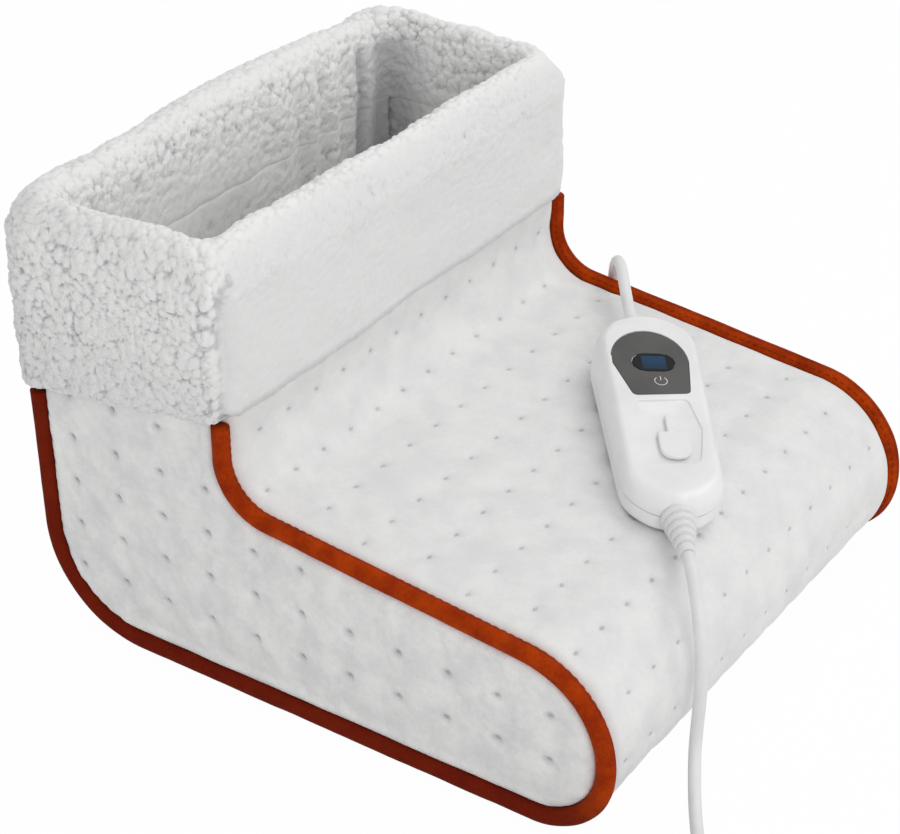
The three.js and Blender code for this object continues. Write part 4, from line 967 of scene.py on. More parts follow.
class Repeated:
    """A small shape set on many places with Geometry Nodes, and turned into a plain mesh."""

    def __init__(self) -> None:
        """Builds the shared node tree."""
        self.tree = bpy.data.node_groups.new("set_on_places", "GeometryNodeTree")
        face = self.tree.interface
        face.new_socket("Geometry", in_out="INPUT", socket_type="NodeSocketGeometry")
        for label in ("Length", "Width", "Height", "Turn"):
            face.new_socket(label, in_out="INPUT", socket_type="NodeSocketFloat").default_value = MM
        for label, value in (("Sides", 8), ("Rings", 4), ("Seed", 7)):
            face.new_socket(label, in_out="INPUT", socket_type="NodeSocketInt").default_value = value
        face.new_socket("Finish", in_out="INPUT", socket_type="NodeSocketMaterial")
        face.new_socket("Geometry", in_out="OUTPUT", socket_type="NodeSocketGeometry")
        nodes = Nodes(self.tree)
        node = nodes.node
        given = node("NodeGroupInput").outputs
        ball = node("GeometryNodeMeshUVSphere", Radius=0.5, Segments=given["Sides"], Rings=given["Rings"])
        size = node("ShaderNodeCombineXYZ", X=given["Length"], Y=given["Width"], Z=given["Height"])
        shape = node("GeometryNodeTransform", Geometry=ball.outputs[0], Scale=size.outputs[0])
        stored = {"data_type": "FLOAT_VECTOR"}
        facing = node("GeometryNodeInputNamedAttribute", Name="facing", **stored).outputs[0]
        heading = node("GeometryNodeInputNamedAttribute", Name="heading", **stored).outputs[0]
        align = "FunctionNodeAlignRotationToVector"
        up = node(align, axis="Z", Vector=facing).outputs[0]
        along = node(align, axis="X", pivot_axis="Z", Rotation=up, Vector=heading).outputs[0]
        chance = node("FunctionNodeRandomValue", data_type="FLOAT", Seed=given["Seed"])
        limits = [s for s in chance.inputs if s.type == "VALUE" and s.enabled]
        nodes.feed(limits[0], nodes.times(given["Turn"], -1.0))
        nodes.feed(limits[1], given["Turn"])
        angle = next(s for s in chance.outputs if s.type == "VALUE" and s.enabled)
        twist = node("FunctionNodeAxisAngleToRotation", Axis=(0, 0, 1), Angle=angle).outputs[0]
        turned = node("FunctionNodeRotateRotation", rotation_space="LOCAL")
        nodes.feed(turned.inputs[0], along)
        nodes.feed(turned.inputs[1], twist)
        put = node("GeometryNodeInstanceOnPoints", Points=given["Geometry"], Instance=shape.outputs[0])
        nodes.feed(put.inputs["Rotation"], turned.outputs[0])
        real = node("GeometryNodeRealizeInstances", Geometry=put.outputs[0])
        smooth = node("GeometryNodeSetShadeSmooth")
        nodes.feed(smooth.inputs[0], real.outputs[0])
        finish = node("GeometryNodeSetMaterial", Geometry=smooth.outputs[0], Material=given["Finish"])
        nodes.feed(node("NodeGroupOutput").inputs[0], finish.outputs[0])

    def spread(
        self,
        name: str,
        places: Points,
        facing: Points | Triple,
        heading: Points | Triple,
        size: Triple,
        finish: Finishes,
        **more: float,
    ) -> Piece:
        """Sets one shape on every place.

        Args:
            name: The piece's name.
            places: Centres in metres.
            facing: Direction away from the surface at each place.
            heading: Direction of the shape's length at each place.
            size: Length, width and height in metres.
            finish: What it is made of.
            more: Largest chance turn in radians as Turn, and the shape's Sides and Rings.

        Returns:
            The piece as a plain mesh.
        """
        piece = make_piece(name, places, [])
        for label, values in (("facing", facing), ("heading", heading)):
            data = piece.data.attributes.new(label, "FLOAT_VECTOR", "POINT").data
            data.foreach_set("vector", np.broadcast_to(values, places.shape).astype(np.float32).reshape(-1))
        modifier = piece.modifiers.new("repeat", "NODES")
        modifier.node_group = self.tree
        sizes = dict(zip(("Length", "Width", "Height"), size))
        values = {"Turn": 0.0, "Finish": WARDROBE.get(finish), **sizes, **more}
        for item in self.tree.interface.items_tree:
            if item.in_out == "INPUT" and item.name in values:
                modifier[item.identifier] = values[item.name]
        settled(piece)
        for label in ("facing", "heading"):
            if label in piece.data.attributes:
                piece.data.attributes.remove(piece.data.attributes[label])
        return piece


REPEATED = Repeated()


# The boot's sizes


@dataclass(frozen=True)
class BootSizes:
    """Sizes that the boot's pieces share, in metres."""

    shaft_front: float = 0.0377
    toe_top: Pair = (-0.1735, 0.0858)
    toe_foot: float = -0.1667
    heel_foot: float = 0.1472
    heel_top: float = 0.1519
    instep: float = 0.1068
    height: float = 0.218
    sole_rise: float = 0.0046
    ankle_radius: float = 0.027
    toe_radius: float = 0.047
    toe_foot_radius: float = 0.037
    heel_radius: float = 0.054
    seam_back: float = 0.022
    seam_gap: float = 0.15 * MM
    band_half: float = 0.1396
    band_proud: float = 0.003
    band_inner: float = -0.006
    sole_inner: float = -0.004
    side_inner: float = 0.1399
    side_outer: float = 0.1472
    piping_x: float = 0.1442
    piping_radius: float = 0.0043
    lining_half: float = 0.1313
    lining_side: float = 0.1316
    lining_side_outer: float = 0.1396
    lining_outer: float = -0.0063
    lining_inner: float = -0.0143
    lining_top: float = 0.2
    collar_half: float = 0.1515
    collar_front: float = 0.0277
    collar_back: float = 0.1682
    hem_front: float = 0.153
    hem_back: float = 0.131

    def outline(self) -> Outline:
        """The boot seen from the side, from the top of the shaft's front round to its back.

        Returns:
            The outline.
        """
        corners = [
            Corner(self.shaft_front, self.height),
            Corner(self.shaft_front, self.instep, self.ankle_radius),
            Corner(*self.toe_top, self.toe_radius),
            Corner(self.toe_foot, self.sole_rise, self.toe_foot_radius),
            Corner(self.heel_foot, self.sole_rise, self.heel_radius),
            Corner(self.heel_top, self.height),
        ]
        return Outline(corners, closed=False)

    def hem_at(self, y: Points | float) -> Points:
        """Height of the collar's hem at a depth."""
        share = np.clip((y - self.collar_front) / (self.collar_back - self.collar_front), 0, 1)
        return self.hem_front + (self.hem_back - self.hem_front) * share

    def heel_slant(self) -> float:
        """Length of the heel's slope for each metre of its height."""
        rise = self.height - self.sole_rise
        return math.hypot(self.heel_top - self.heel_foot, rise) / rise

    def lining_depth(self) -> float:
        """Thickness of the lining at the sides."""
        return self.lining_side_outer - self.lining_side


SIZES = BootSizes()
SIDE = SIZES.outline()
SOLE_START = SIDE.marks[(3, True)]
SOLE_END = SIDE.marks[(4, False)]
HOLD = 0.9 * MM


@dataclass
class Tufting:
    """Pressed spots of the quilting in a panel's own flat coordinates, in metres."""

    across: float
    along: float
    first_across: float
    first_along: float
    staggered: bool

    def spots(self, low: Sequence[float], high: Sequence[float]) -> Points:
        """The spots between two corners of a panel.

        Args:
            low: Lowest across and along.
            high: Highest across and along.

        Returns:
            Two numbers for each spot.
        """
        def steps(i: int, first: float, pitch: float) -> range:
            """Whole steps between the two corners along one way."""
            return range(math.ceil((low[i] - first) / pitch), math.floor((high[i] - first) / pitch) + 1)

        found = []
        for row in steps(1, self.first_along, self.along):
            shift = self.first_across + (self.across / 2 if self.staggered and row % 2 else 0.0)
            y = self.first_along + row * self.along
            found += [(shift + column * self.across, y) for column in steps(0, shift, self.across)]
        return np.array(found).reshape(-1, 2)


NO_SPOTS = np.zeros((0, 2))


def nearest_offset(points: Points, spots: Points) -> Points:
    """Way from its nearest spot to each flat point.

    Args:
        points: Flat points.
        spots: The spots.

    Returns:
        Two numbers for each point.
    """
    if not len(spots):
        return np.full((len(points), 2), 1.0)
    tree = kdtree.KDTree(len(spots))
    for i, spot in enumerate(spots):
        tree.insert((*spot, 0.0), i)
    tree.balance()
    return points - spots[[tree.find((*p, 0.0))[1] for p in points]]


def nearest_distance(points: Points, spots: Points) -> Points:
    """Distance from each flat point to its nearest spot."""
    return np.linalg.norm(nearest_offset(points, spots), axis=1)


def depth_in(loop: Points, points: Points) -> Points:
    """Distance from flat points to the edge of a closed outline, negative outside.

    Args:
        loop: The outline's points.
        points: The points to measure.

    Returns:
        One distance for each point.
    """
    nearest = np.full(len(points), np.inf)
    odd = np.zeros(len(points), bool)
    for a, b in zip(loop, np.roll(loop, -1, axis=0)):
        way = b - a
        share = np.clip(((points - a) @ way) / max(way @ way, 1e-18), 0, 1)
        nearest = np.minimum(nearest, np.linalg.norm(points - a - share[:, None] * way, axis=1))
        crosses = (a[1] > points[:, 1]) != (b[1] > points[:, 1])
        if abs(way[1]) > 1e-12:
            odd ^= crosses & (points[:, 0] < way[0] * (points[:, 1] - a[1]) / way[1] + a[0])
    return np.where(odd, nearest, -nearest)


# Padded cloth


@dataclass
class Blank:
    """A closed pad before it is puffed: a fine front face, a rim and a plain back."""

    corners: Points
    faces: list
    flat: Points
    front_count: int
    held: Points

    def assemble(self, name: str) -> Piece:
        """The closed pad as an object with its flat coordinates and its held corners.

        Args:
            name: The object's name.

        Returns:
            The object.
        """
        piece = outwards(make_piece(name, self.corners, self.faces))
        front = (np.arange(len(self.corners)) < self.front_count).astype(float)
        set_numbers(piece.data, across=self.flat[:, 0], along=self.flat[:, 1], front=front)
        held = piece.vertex_groups.new(name="held")
        held.add(np.flatnonzero(self.held).tolist(), 1.0, "REPLACE")
        return piece

    def near(self, spots: Points) -> Points:
        """Numbers of the front's corners that the spots hold."""
        return np.flatnonzero(nearest_distance(self.flat[: self.front_count], spots) < HOLD)


def flat_numbers(mesh: Mesh) -> tuple[Points, Points]:
    """A pad's flat coordinates, and how far each corner belongs to its front."""
    flat = np.stack([numbers_of(mesh, "across"), numbers_of(mesh, "along")], axis=1)
    return flat, numbers_of(mesh, "front")


def without_flat(piece: Piece) -> None:
    """Removes what only the making of a pad needs."""
    for label in ("across", "along", "front"):
        piece.data.attributes.remove(piece.data.attributes[label])
    piece.vertex_groups.clear()


def subdivided(piece: Piece) -> Piece:
    """Rounds a piece by splitting each face once."""
    modifier = piece.modifiers.new("rounding", "SUBSURF")
    modifier.levels = modifier.render_levels = 1
    return settled(piece)


def band_blank(
    stations: Points,
    columns: Points,
    proud: float,
    inner: float,
    edge: Pair,
    spots: Points = NO_SPOTS,
) -> Blank:
    """A pad that follows the boot's outline between two stations.

    Args:
        stations: Distances along the outline.
        columns: Places across the boot.
        proud: Offset of the front face.
        inner: Offset of the back face.
        edge: How far the front sinks at its sides, and the width of that.
        spots: The pressed spots, which are held.

    Returns:
        The pad.
    """
    half = columns[-1]
    roll, width = edge
    across, along = np.meshgrid(columns, stations)
    places, normals = SIDE.frame(stations)
    sunk = roll * rounding(np.clip((np.abs(columns) - (half - width)) / width, 0, 1))
    front = places[:, None, :] + normals[:, None, :] * (proud - sunk)[None, :, None]
    rows, count = len(stations), len(columns)
    base = rows * count
    faces: list = ring_faces(rows, count, False, wrapped=False)
    left_mid, right_mid, left_back, right_back = (base + k * rows for k in range(4))
    strips = (
        (left_mid, 1, 0, count),
        (left_back, 1, left_mid, 1),
        (count - 1, count, right_mid, 1),
        (right_mid, 1, right_back, 1),
        (right_back, 1, left_back, 1),
    )
    for r in range(rows - 1):
        for a, a_step, b, b_step in strips:
            faces.append((a + r * a_step, b + r * b_step, b + (r + 1) * b_step, a + (r + 1) * a_step))
    for r in (0, rows - 1):
        back = [first + r for first in (right_mid, right_back, left_back, left_mid)]
        ring = [*range(r * count, (r + 1) * count), *back]
        faces.append(ring if r == 0 else ring[::-1])
    middle = (proud - roll + inner) / 2
    lines = [upright(x, places + normals * offset) for offset in (middle, inner) for x in (-half, half)]
    corners = np.concatenate([np.dstack([across, front]).reshape(-1, 3), *lines])
    edges = [np.column_stack([line[:, 0], stations]) for line in lines]
    flat = np.concatenate([np.dstack([across, along]).reshape(-1, 2), *edges])
    held = np.ones(len(corners))
    held[:base].reshape(rows, count)[1:-1, 1:-1] = 0
    blank = Blank(corners, faces, flat, base, held)
    held[blank.near(spots)] = 1
    return blank


def plate_blank(
    loop: Points, within: Points, to_space: Callable, depth: float, roll: float, spots: Points = NO_SPOTS
) -> Blank:
    """A pad with any flat outline.

    Args:
        loop: The outline, anticlockwise.
        within: Points inside it for the front face.
        to_space: Turns flat points and depths behind the front into places.
        depth: Thickness of the pad.
        roll: Width and depth of its rounded rim.
        spots: The pressed spots, which are held.

    Returns:
        The pad.
    """
    inset = depth_in(loop, within)
    kept = inset > 2.4 * MM
    count = len(loop)
    flat, faces = triangulated(np.concatenate([loop, within[kept]]), count)
    edge = np.clip(1 - np.concatenate([np.zeros(count), inset[kept]]) / (2 * roll), 0, 1)
    front = to_space(flat, roll * rounding(edge))
    sparse = within[inset > 9 * MM][::23]
    back_flat, back_faces = triangulated(np.concatenate([loop, sparse]), count)
    back = to_space(back_flat, depth)
    base = len(front)
    for i in range(count):
        j = (i + 1) % count
        faces.append((i, base + i, base + j, j))
        faces.append((base + i, base + count + i, base + count + j, base + j))
    faces += [[base + count + k for k in reversed(t)] for t in back_faces]
    corners = np.concatenate([front, to_space(loop, (roll + depth) / 2), back])
    held = np.ones(len(corners))
    held[count:base] = 0
    blank = Blank(corners, faces, np.concatenate([flat, loop, back_flat]), base, held)
    held[blank.near(spots)] = 1
    return blank


@dataclass
class Puffing:
    """How far the filling pushes the cloth out between the pressed spots."""

    pressure: float = 3.5
    slack: float = 0.012
    frames: int = 14
    cap: float = 0.006
    quality: int = 5
    mass: float = 0.3
    stretch: float = 18.0
    shear: float = 6.0
    bending: float = 0.4
    quick_rise: float = 1.2 * MM
    quick_reach: float = 0.011

    def stiffen(self, piece: Piece) -> None:
        """Makes a panel cloth that is held at its spots and its binding.

        Args:
            piece: The panel.
        """
        cloth = piece.modifiers.new("puff", "CLOTH")
        settings = cloth.settings
        settings.quality = self.quality
        settings.mass = self.mass
        settings.vertex_group_mass = "held"
        settings.tension_stiffness = settings.compression_stiffness = self.stretch
        settings.shear_stiffness = self.shear
        settings.bending_stiffness = self.bending
        settings.use_pressure = True
        settings.uniform_pressure_force = self.pressure
        settings.shrink_min = -self.slack
        settings.effector_weights.gravity = 0
        cloth.collision_settings.use_collision = False
        cloth.point_cache.frame_start, cloth.point_cache.frame_end = 1, self.frames

    def run(self, pieces: Sequence[Piece]) -> None:
        """Simulates all panels at once and keeps the result as plain meshes.

        Args:
            pieces: Panels with the group of held corners.
        """
        scene = bpy.context.scene
        starts = [corners_of(piece.data) for piece in pieces]
        for piece in pieces:
            self.stiffen(piece)
        for step in range(1, self.frames + 1):
            scene.frame_set(step)
        graph = bpy.context.evaluated_depsgraph_get()
        ends = [corners_of(piece.evaluated_get(graph).data) for piece in pieces]
        for piece, start, end in zip(pieces, starts, ends):
            piece.modifiers.clear()
            moved = end - start
            size = np.linalg.norm(moved, axis=1)
            log.info("%s puffed by %.1f mm at most, mean %.1f", piece.name, size.max() / MM, size.mean() / MM)
            limit = np.minimum(size, self.cap) / np.maximum(size, 1e-9)
            move_corners(piece.data, start + moved * limit[:, None])
        scene.frame_set(1)


# Quilted outside


@dataclass
class Shell:
    """The quilted outside: upper, back, sides, sole and the tape edging."""

    band_pitch: float = 0.022
    row_pitch: float = 0.0285
    first_row: float = -0.0018
    shift: float = -0.007
    side_pitch: float = 0.027
    side_rise: float = 0.0245
    side_first: float = -0.006
    side_first_height: float = 0.038
    spot_depth: float = 0.0024
    spot_margin: float = 0.009
    band_edge: Pair = (0.0026, 0.006)
    side_edge: float = 0.0024
    side_sunk: float = 0.6 * MM
    band_sunk: float = 0.8 * MM
    weld_size: Triple = (0.0052, 0.0021, 0.0011)
    dot_pitch: float = 0.009
    dot_size: Triple = (0.0026, 0.0026, 0.0012)
    stitch_pitch: float = 0.0042
    stitch_size: Triple = (0.0031, 0.0007, 0.0006)
    stitch_lean: float = math.radians(52)
    tape_stop: float = 3.2 * MM
    tape_step: float = 0.0024
    tape_sides: int = 20
    ripples: tuple[Pair, ...] = ((0.5, 0.016), (0.3, 0.0075), (0.14, 0.0035))
    ripple_height: float = 0.55 * MM
    ripple_reach: float = 0.0075
    dash_size: Pair = (0.0029, 0.0022)
    dash_depth: float = 0.8 * MM
    # Darkening of each pressed spot, partly the pressed fabric's tone and partly painted shade, then the
    # strength and reach of the painted shade in the dimple round it.
    dash_shade: float = 0.5
    dimple_shade: Pair = (0.1, 0.005)
    weld_rise: float = 0.12 * MM
    sole_edge: Pair = (0.0022, 0.005)
    sole_sunk: float = 0.7 * MM
    sole_ripple: float = 0.18 * MM
    dot_margins: Pair = (0.008, 0.004)
    dot_rise: float = 0.6 * MM

    def row_station(self) -> float:
        """Distance along the outline of the first row of spots on the instep."""
        end = SIDE.marks[(1, True)]
        place = SIDE.frame(np.array([end]))[0][0]
        slope = (SIZES.instep - SIZES.toe_top[1]) / (SIZES.shaft_front - SIZES.toe_top[0])
        return end + (place[0] - self.first_row) * math.hypot(1, slope)

    def in_step(self, start: float, end: float, first: float, step: float) -> Points:
        """Even places from start to end, in line with a first one."""
        inside = np.arange(-400, 400) * step + first
        inside = inside[(inside > start + 0.35 * step) & (inside < end - 0.35 * step)]
        return np.concatenate([[start], inside, [end]])

    def sink_spots(self, blank: Blank, spots: Points, normal: Callable[[Points], Points]) -> None:
        """Presses the held spots into the pad before it is puffed.

        Args:
            blank: The pad.
            spots: Its spots.
            normal: Outward directions for flat coordinates.
        """
        near = blank.near(spots)
        blank.corners[near] -= self.spot_depth * normal(blank.flat[near])

    def band_normal(self, flat: Points) -> Points:
        """Outward direction of a band at flat coordinates."""
        return upright(0.0, SIDE.frame(flat[:, 1])[1])

    def band_place(self, flat: Points, offset: float) -> Points:
        """Place of a band's flat coordinates in space."""
        spots, normals = SIDE.frame(flat[:, 1])
        return upright(flat[:, 0], spots + normals * offset)

    def side_loop(self, spacing: float = 0.0034) -> Points:
        """Outline of a side panel, anticlockwise in depth and height, closed over the top."""
        line = SIDE.line(-SIZES.piping_radius - 0.3 * MM, spacing)
        steps = max(2, round(np.linalg.norm(line[0] - line[-1]) / spacing))
        shares = np.linspace(0, 1, steps + 1)[1:-1, None]
        return np.concatenate([line, line[-1] + (line[0] - line[-1]) * shares])

    def side_spots(self, loop: Points) -> Points:
        """Pressed spots of a side panel."""
        tufting = Tufting(self.side_pitch, self.side_rise, self.side_first, self.side_first_height, False)
        spots = tufting.spots((-0.2, 0.0), (0.2, SIZES.height))
        deep = depth_in(loop, spots) > self.spot_margin
        return spots[deep & (spots[:, 1] < SIZES.hem_at(spots[:, 0]))]

    def side_lattice(self) -> Points:
        """Staggered points for a side panel's front, in line with its spots."""
        across, up = self.side_pitch / 8, self.side_rise / 8
        column, row = np.meshgrid(np.arange(-60, 60), np.arange(-20, 80))
        y = self.side_first + column * across + np.where(row % 2, across / 2, 0.0)
        return np.stack([y, self.side_first_height + row * up], axis=2).reshape(-1, 2)

    def bands(self) -> list[tuple[Piece, Points, str]]:
        """The panels over the front and the heel before they are puffed, with their spots and nodes.

        Returns:
            For each panel the piece, its spots and its node.
        """
        s = SIZES
        toe, heel = SOLE_START - s.seam_back, SOLE_END + s.seam_back
        first = self.row_station()
        hem = s.height - s.hem_at(s.shaft_front)
        top = SIDE.length - (s.height - s.hem_back)
        reach = s.band_half - self.spot_margin
        columns = self.in_step(-s.band_half, s.band_half, self.shift, self.band_pitch / 6)
        made = []
        for node, start, end, row, low, high in (
            ("upper_panel", 0.0, toe - s.seam_gap, first, hem, toe - s.seam_gap),
            ("back_panel", heel + s.seam_gap, SIDE.length, heel + self.row_pitch / 2, heel, top),
        ):
            tufting = Tufting(self.band_pitch, self.row_pitch, self.shift, row, True)
            spots = tufting.spots((-reach, low + self.spot_margin), (reach, high - self.spot_margin))
            stations = self.in_step(start, end, row, self.row_pitch / 8)
            proud = s.band_proud - self.band_sunk
            blank = band_blank(stations, columns, proud, s.band_inner, self.band_edge, spots)
            self.sink_spots(blank, spots, self.band_normal)
            made.append((blank.assemble("quilted_" + node), spots, node))
        return made

    def sides(self) -> list[tuple[Piece, Points, str]]:
        """The side panels before they are puffed, with their spots and nodes.

        Returns:
            For each panel the piece, its spots and its node.
        """
        loop = self.side_loop()
        spots = self.side_spots(loop)
        outer = SIZES.side_outer - self.side_sunk
        made = []
        for side, node in ((-1.0, "side_panel_left"), (1.0, "side_panel_right")):

            def to_space(flat: Points, depth: Points | float, side: float = side) -> Points:
                """Place of a side panel's flat coordinates at a depth behind its face."""
                return upright(side * (outer - depth), flat)

            depth = outer - SIZES.side_inner
            blank = plate_blank(loop, self.side_lattice(), to_space, depth, self.side_edge, spots)
            self.sink_spots(blank, spots, lambda flat, side=side: upright(side, 0 * flat))
            made.append((blank.assemble("quilted_" + node), spots, node))
        return made

    def finish_pad(self, piece: Piece, spots: Points, node: str) -> None:
        """Rounds a panel, adds its creases, marks its pressed spots and paints shade into the dimples round
        them.

        Args:
            piece: The puffed panel.
            spots: Its spots.
            node: The CAD node that it stands for.
        """
        mesh = subdivided(piece).data
        flat, front = flat_numbers(mesh)
        way = nearest_offset(flat, spots)
        away = np.linalg.norm(way, axis=1)
        dash = hump(way[:, 0], self.dash_size[0]) * hump(way[:, 1], self.dash_size[1])
        places = corners_of(mesh)
        seed = {"upper_panel": 3, "back_panel": 31, "side_panel_left": 57, "side_panel_right": 83}[node]
        waves = enumerate(self.ripples, seed)
        ripple = sum(share * soft_noise(places, size, number) for number, (share, size) in waves)
        calm = {"upper_panel": 0.6, "back_panel": 1.1}.get(node, 1.5)
        creased = self.ripple_height * calm * ripple * (0.35 + hump(away, self.ripple_reach))
        height = (creased - self.dash_depth * dash) * smooth_step(front, 0.5, 1.0)
        move_corners(mesh, places + normals_of(mesh) * height[:, None])
        # Painted shade: the spot's darker tone with painted shade on it, and a ring of painted shade in the
        # dimple round it.
        spot_tone_and_shade = self.dash_shade * dash + self.dimple_shade[0] * hump(away, self.dimple_shade[1])
        set_numbers(mesh, pressed=spot_tone_and_shade * self.mark_share(places, node))
        without_flat(piece)
        finish = Finishes.BRUSHED if node.startswith("side") else Finishes.SHELL
        WARDROBE.dress(piece, finish, "shell_fabric", node)
        self.weld(piece, spots, node)

    def mark_share(self, places: Points, node: str) -> Points:
        """How plainly the pressed spots show: fainter on the instep and least on the toe's front."""
        if node != "upper_panel":
            return np.ones(len(places))
        return 0.25 + 0.4 * smooth_step(places[:, 2], 0.05, 0.092)

    def weld(self, piece: Piece, spots: Points, node: str) -> None:
        """Sets a pressed mark in every spot of a panel.

        Args:
            piece: The finished panel.
            spots: Its spots.
            node: The CAD node that it stands for.
        """
        if node.startswith("side"):
            side = -1.0 if node.endswith("left") else 1.0
            guess = upright(side * SIZES.side_outer, spots)
            facing = upright(side, 0 * spots)
            heading = (0.0, 1.0, 0.25)
        else:
            guess = self.band_place(spots, SIZES.band_proud)
            facing = self.band_normal(spots)
            heading = (1.0, 0.0, 0.0)
        tree = kdtree.KDTree(len(piece.data.vertices))
        for i, corner in enumerate(piece.data.vertices):
            tree.insert(corner.co, i)
        tree.balance()
        found = np.array([list(tree.find(Vector(g - 2 * MM * n))[0]) for g, n in zip(guess, facing)])
        level = np.sum((found - guess) * facing, axis=1)
        places = guess + facing * (level + self.weld_rise)[:, None]
        finish = Finishes.PALE_WELD if node == "upper_panel" else Finishes.WELD
        name = "pressed_marks_" + node
        marks = REPEATED.spread(name, places, facing, heading, self.weld_size, finish, Turn=0.5, Rings=5)
        set_numbers(marks.data, pressed=0.25 * self.mark_share(corners_of(marks.data), node))
        WARDROBE.dress(marks, finish, "shell_fabric")

    def sole(self) -> None:
        """The sole cloth with its grip dots."""
        s = SIZES
        start, end = SOLE_START - s.seam_back + s.seam_gap, SOLE_END + s.seam_back - s.seam_gap
        columns = np.linspace(-s.band_half, s.band_half, 80)
        stations, proud = np.linspace(start, end, 90), s.sole_rise - self.sole_sunk
        blank = band_blank(stations, columns, proud, s.sole_inner, self.sole_edge)
        piece = subdivided(blank.assemble("sole_cloth"))
        mesh = piece.data
        places = corners_of(mesh)
        ripple = self.sole_ripple * soft_noise(places, 0.012, 9)
        ripple *= smooth_step(flat_numbers(mesh)[1], 0.5, 1.0)
        move_corners(mesh, places + normals_of(mesh) * ripple[:, None])
        set_numbers(mesh, pressed=np.zeros(len(places)))
        without_flat(piece)
        WARDROBE.dress(piece, Finishes.SOLE, "sole_fabric", "sole_panel")
        aside, before = self.dot_margins
        low, high, reach = SOLE_START + before, SOLE_END - before, s.band_half - aside
        tufting = Tufting(self.dot_pitch, self.dot_pitch * 0.866, 0.0, low, True)
        centres = self.band_place(tufting.spots((-reach, low), (reach, high)), 0.0)
        centres[:, 2] = self.dot_rise
        down, ahead = (0.0, 0.0, -1.0), (1.0, 0.0, 0.0)
        dots = REPEATED.spread("grip_dots", centres, down, ahead, self.dot_size, Finishes.DOTS)
        WARDROBE.dress(dots, Finishes.DOTS, "sole_fabric")

    def edging(self) -> None:
        """The two lines of folded tape, with their stitches."""
        s = SIZES
        start = s.height - (s.hem_at(s.shaft_front) - self.tape_stop)
        end = SIDE.length - (s.height - (s.hem_at(s.heel_top) - self.tape_stop)) * s.heel_slant()
        stations = np.linspace(start, end, round((end - start) / self.tape_step))
        places, normals = SIDE.frame(stations)
        sides = self.tape_sides
        angles = np.linspace(0, 2 * math.pi, sides, endpoint=False)
        round_out = (np.cos(angles) * (1 + 0.1 * np.cos(2 * angles)))[None, :, None]
        for sign, node in ((-1.0, "edge_piping_left"), (1.0, "edge_piping_right")):
            line = upright(sign, places)
            swell = 1 + 0.035 * soft_noise(line, 0.02, 5) + 0.02 * soft_noise(line, 0.006, 6)
            rings = round_out * upright(0.0, normals)[:, None, :]
            rings = rings + np.sin(angles)[None, :, None] * np.array([sign, 0.0, 0.0])
            centres = upright(sign * s.piping_x, places)[:, None, :]
            corners = (centres + (s.piping_radius * swell)[:, None, None] * rings).reshape(-1, 3)
            corners[:, 2] = np.maximum(corners[:, 2], 0.2 * MM)
            faces = ring_faces(len(stations), sides, False)
            ends = [range(sides), range(len(corners) - sides, len(corners))]
            piece = outwards(make_piece("tape_" + node, corners, [*faces, *ends]))
            mesh = piece.data
            around = np.tile(angles * s.piping_radius, len(stations))
            along_around = np.stack([np.repeat(stations, sides), around], axis=1)
            loops = np.zeros(len(mesh.loops), np.int32)
            mesh.loops.foreach_get("vertex_index", loops)
            own = along_around[loops].astype(np.float32).reshape(-1)
            mesh.uv_layers.new(name="along_around").data.foreach_set("uv", own)
            # Painted shade: darker where the tape's run faces down and towards the back.
            under = smooth_step(0.6 * normals[:, 0] - normals[:, 1], -0.6, 0.75)
            set_numbers(mesh, under=np.repeat(under, sides))
            WARDROBE.dress(piece, Finishes.TAPE, "piping_tape", node)
            self.stitches(sign, node, start, end)

    def stitches(self, sign: float, node: str, start: float, end: float) -> None:
        """A row of stitches on the tape's inner edge.

        Args:
            sign: Side of the boot.
            node: The CAD node of the tape.
            start: Station of the first stitch.
            end: Station of the last one.
        """
        places, normals = SIDE.frame(np.arange(start + 0.004, end - 0.004, self.stitch_pitch))
        ways = upright(0.0, np.stack([-normals[:, 1], normals[:, 0]], axis=1))
        out = upright(-sign * math.sin(self.stitch_lean), normals * math.cos(self.stitch_lean))
        centres = upright(sign * SIZES.piping_x, places) + out * SIZES.piping_radius
        name = "tape_stitches_" + node
        seam = REPEATED.spread(name, centres, out, ways, self.stitch_size, Finishes.THREAD, Sides=6)
        low = corners_of(seam.data)
        low[:, 2] = np.maximum(low[:, 2], 0.1 * MM)
        move_corners(seam.data, low)
        WARDROBE.dress(seam, Finishes.THREAD, "piping_tape")

    def build(self) -> None:
        """Builds and dresses the whole outside."""
        pads = [*self.bands(), *self.sides()]
        puffing = Puffing()
        puffing.run([piece for piece, _, _ in pads])
        for pad in pads:
            self.finish_pad(*pad)
        self.sole()
        self.edging()


# Fleece


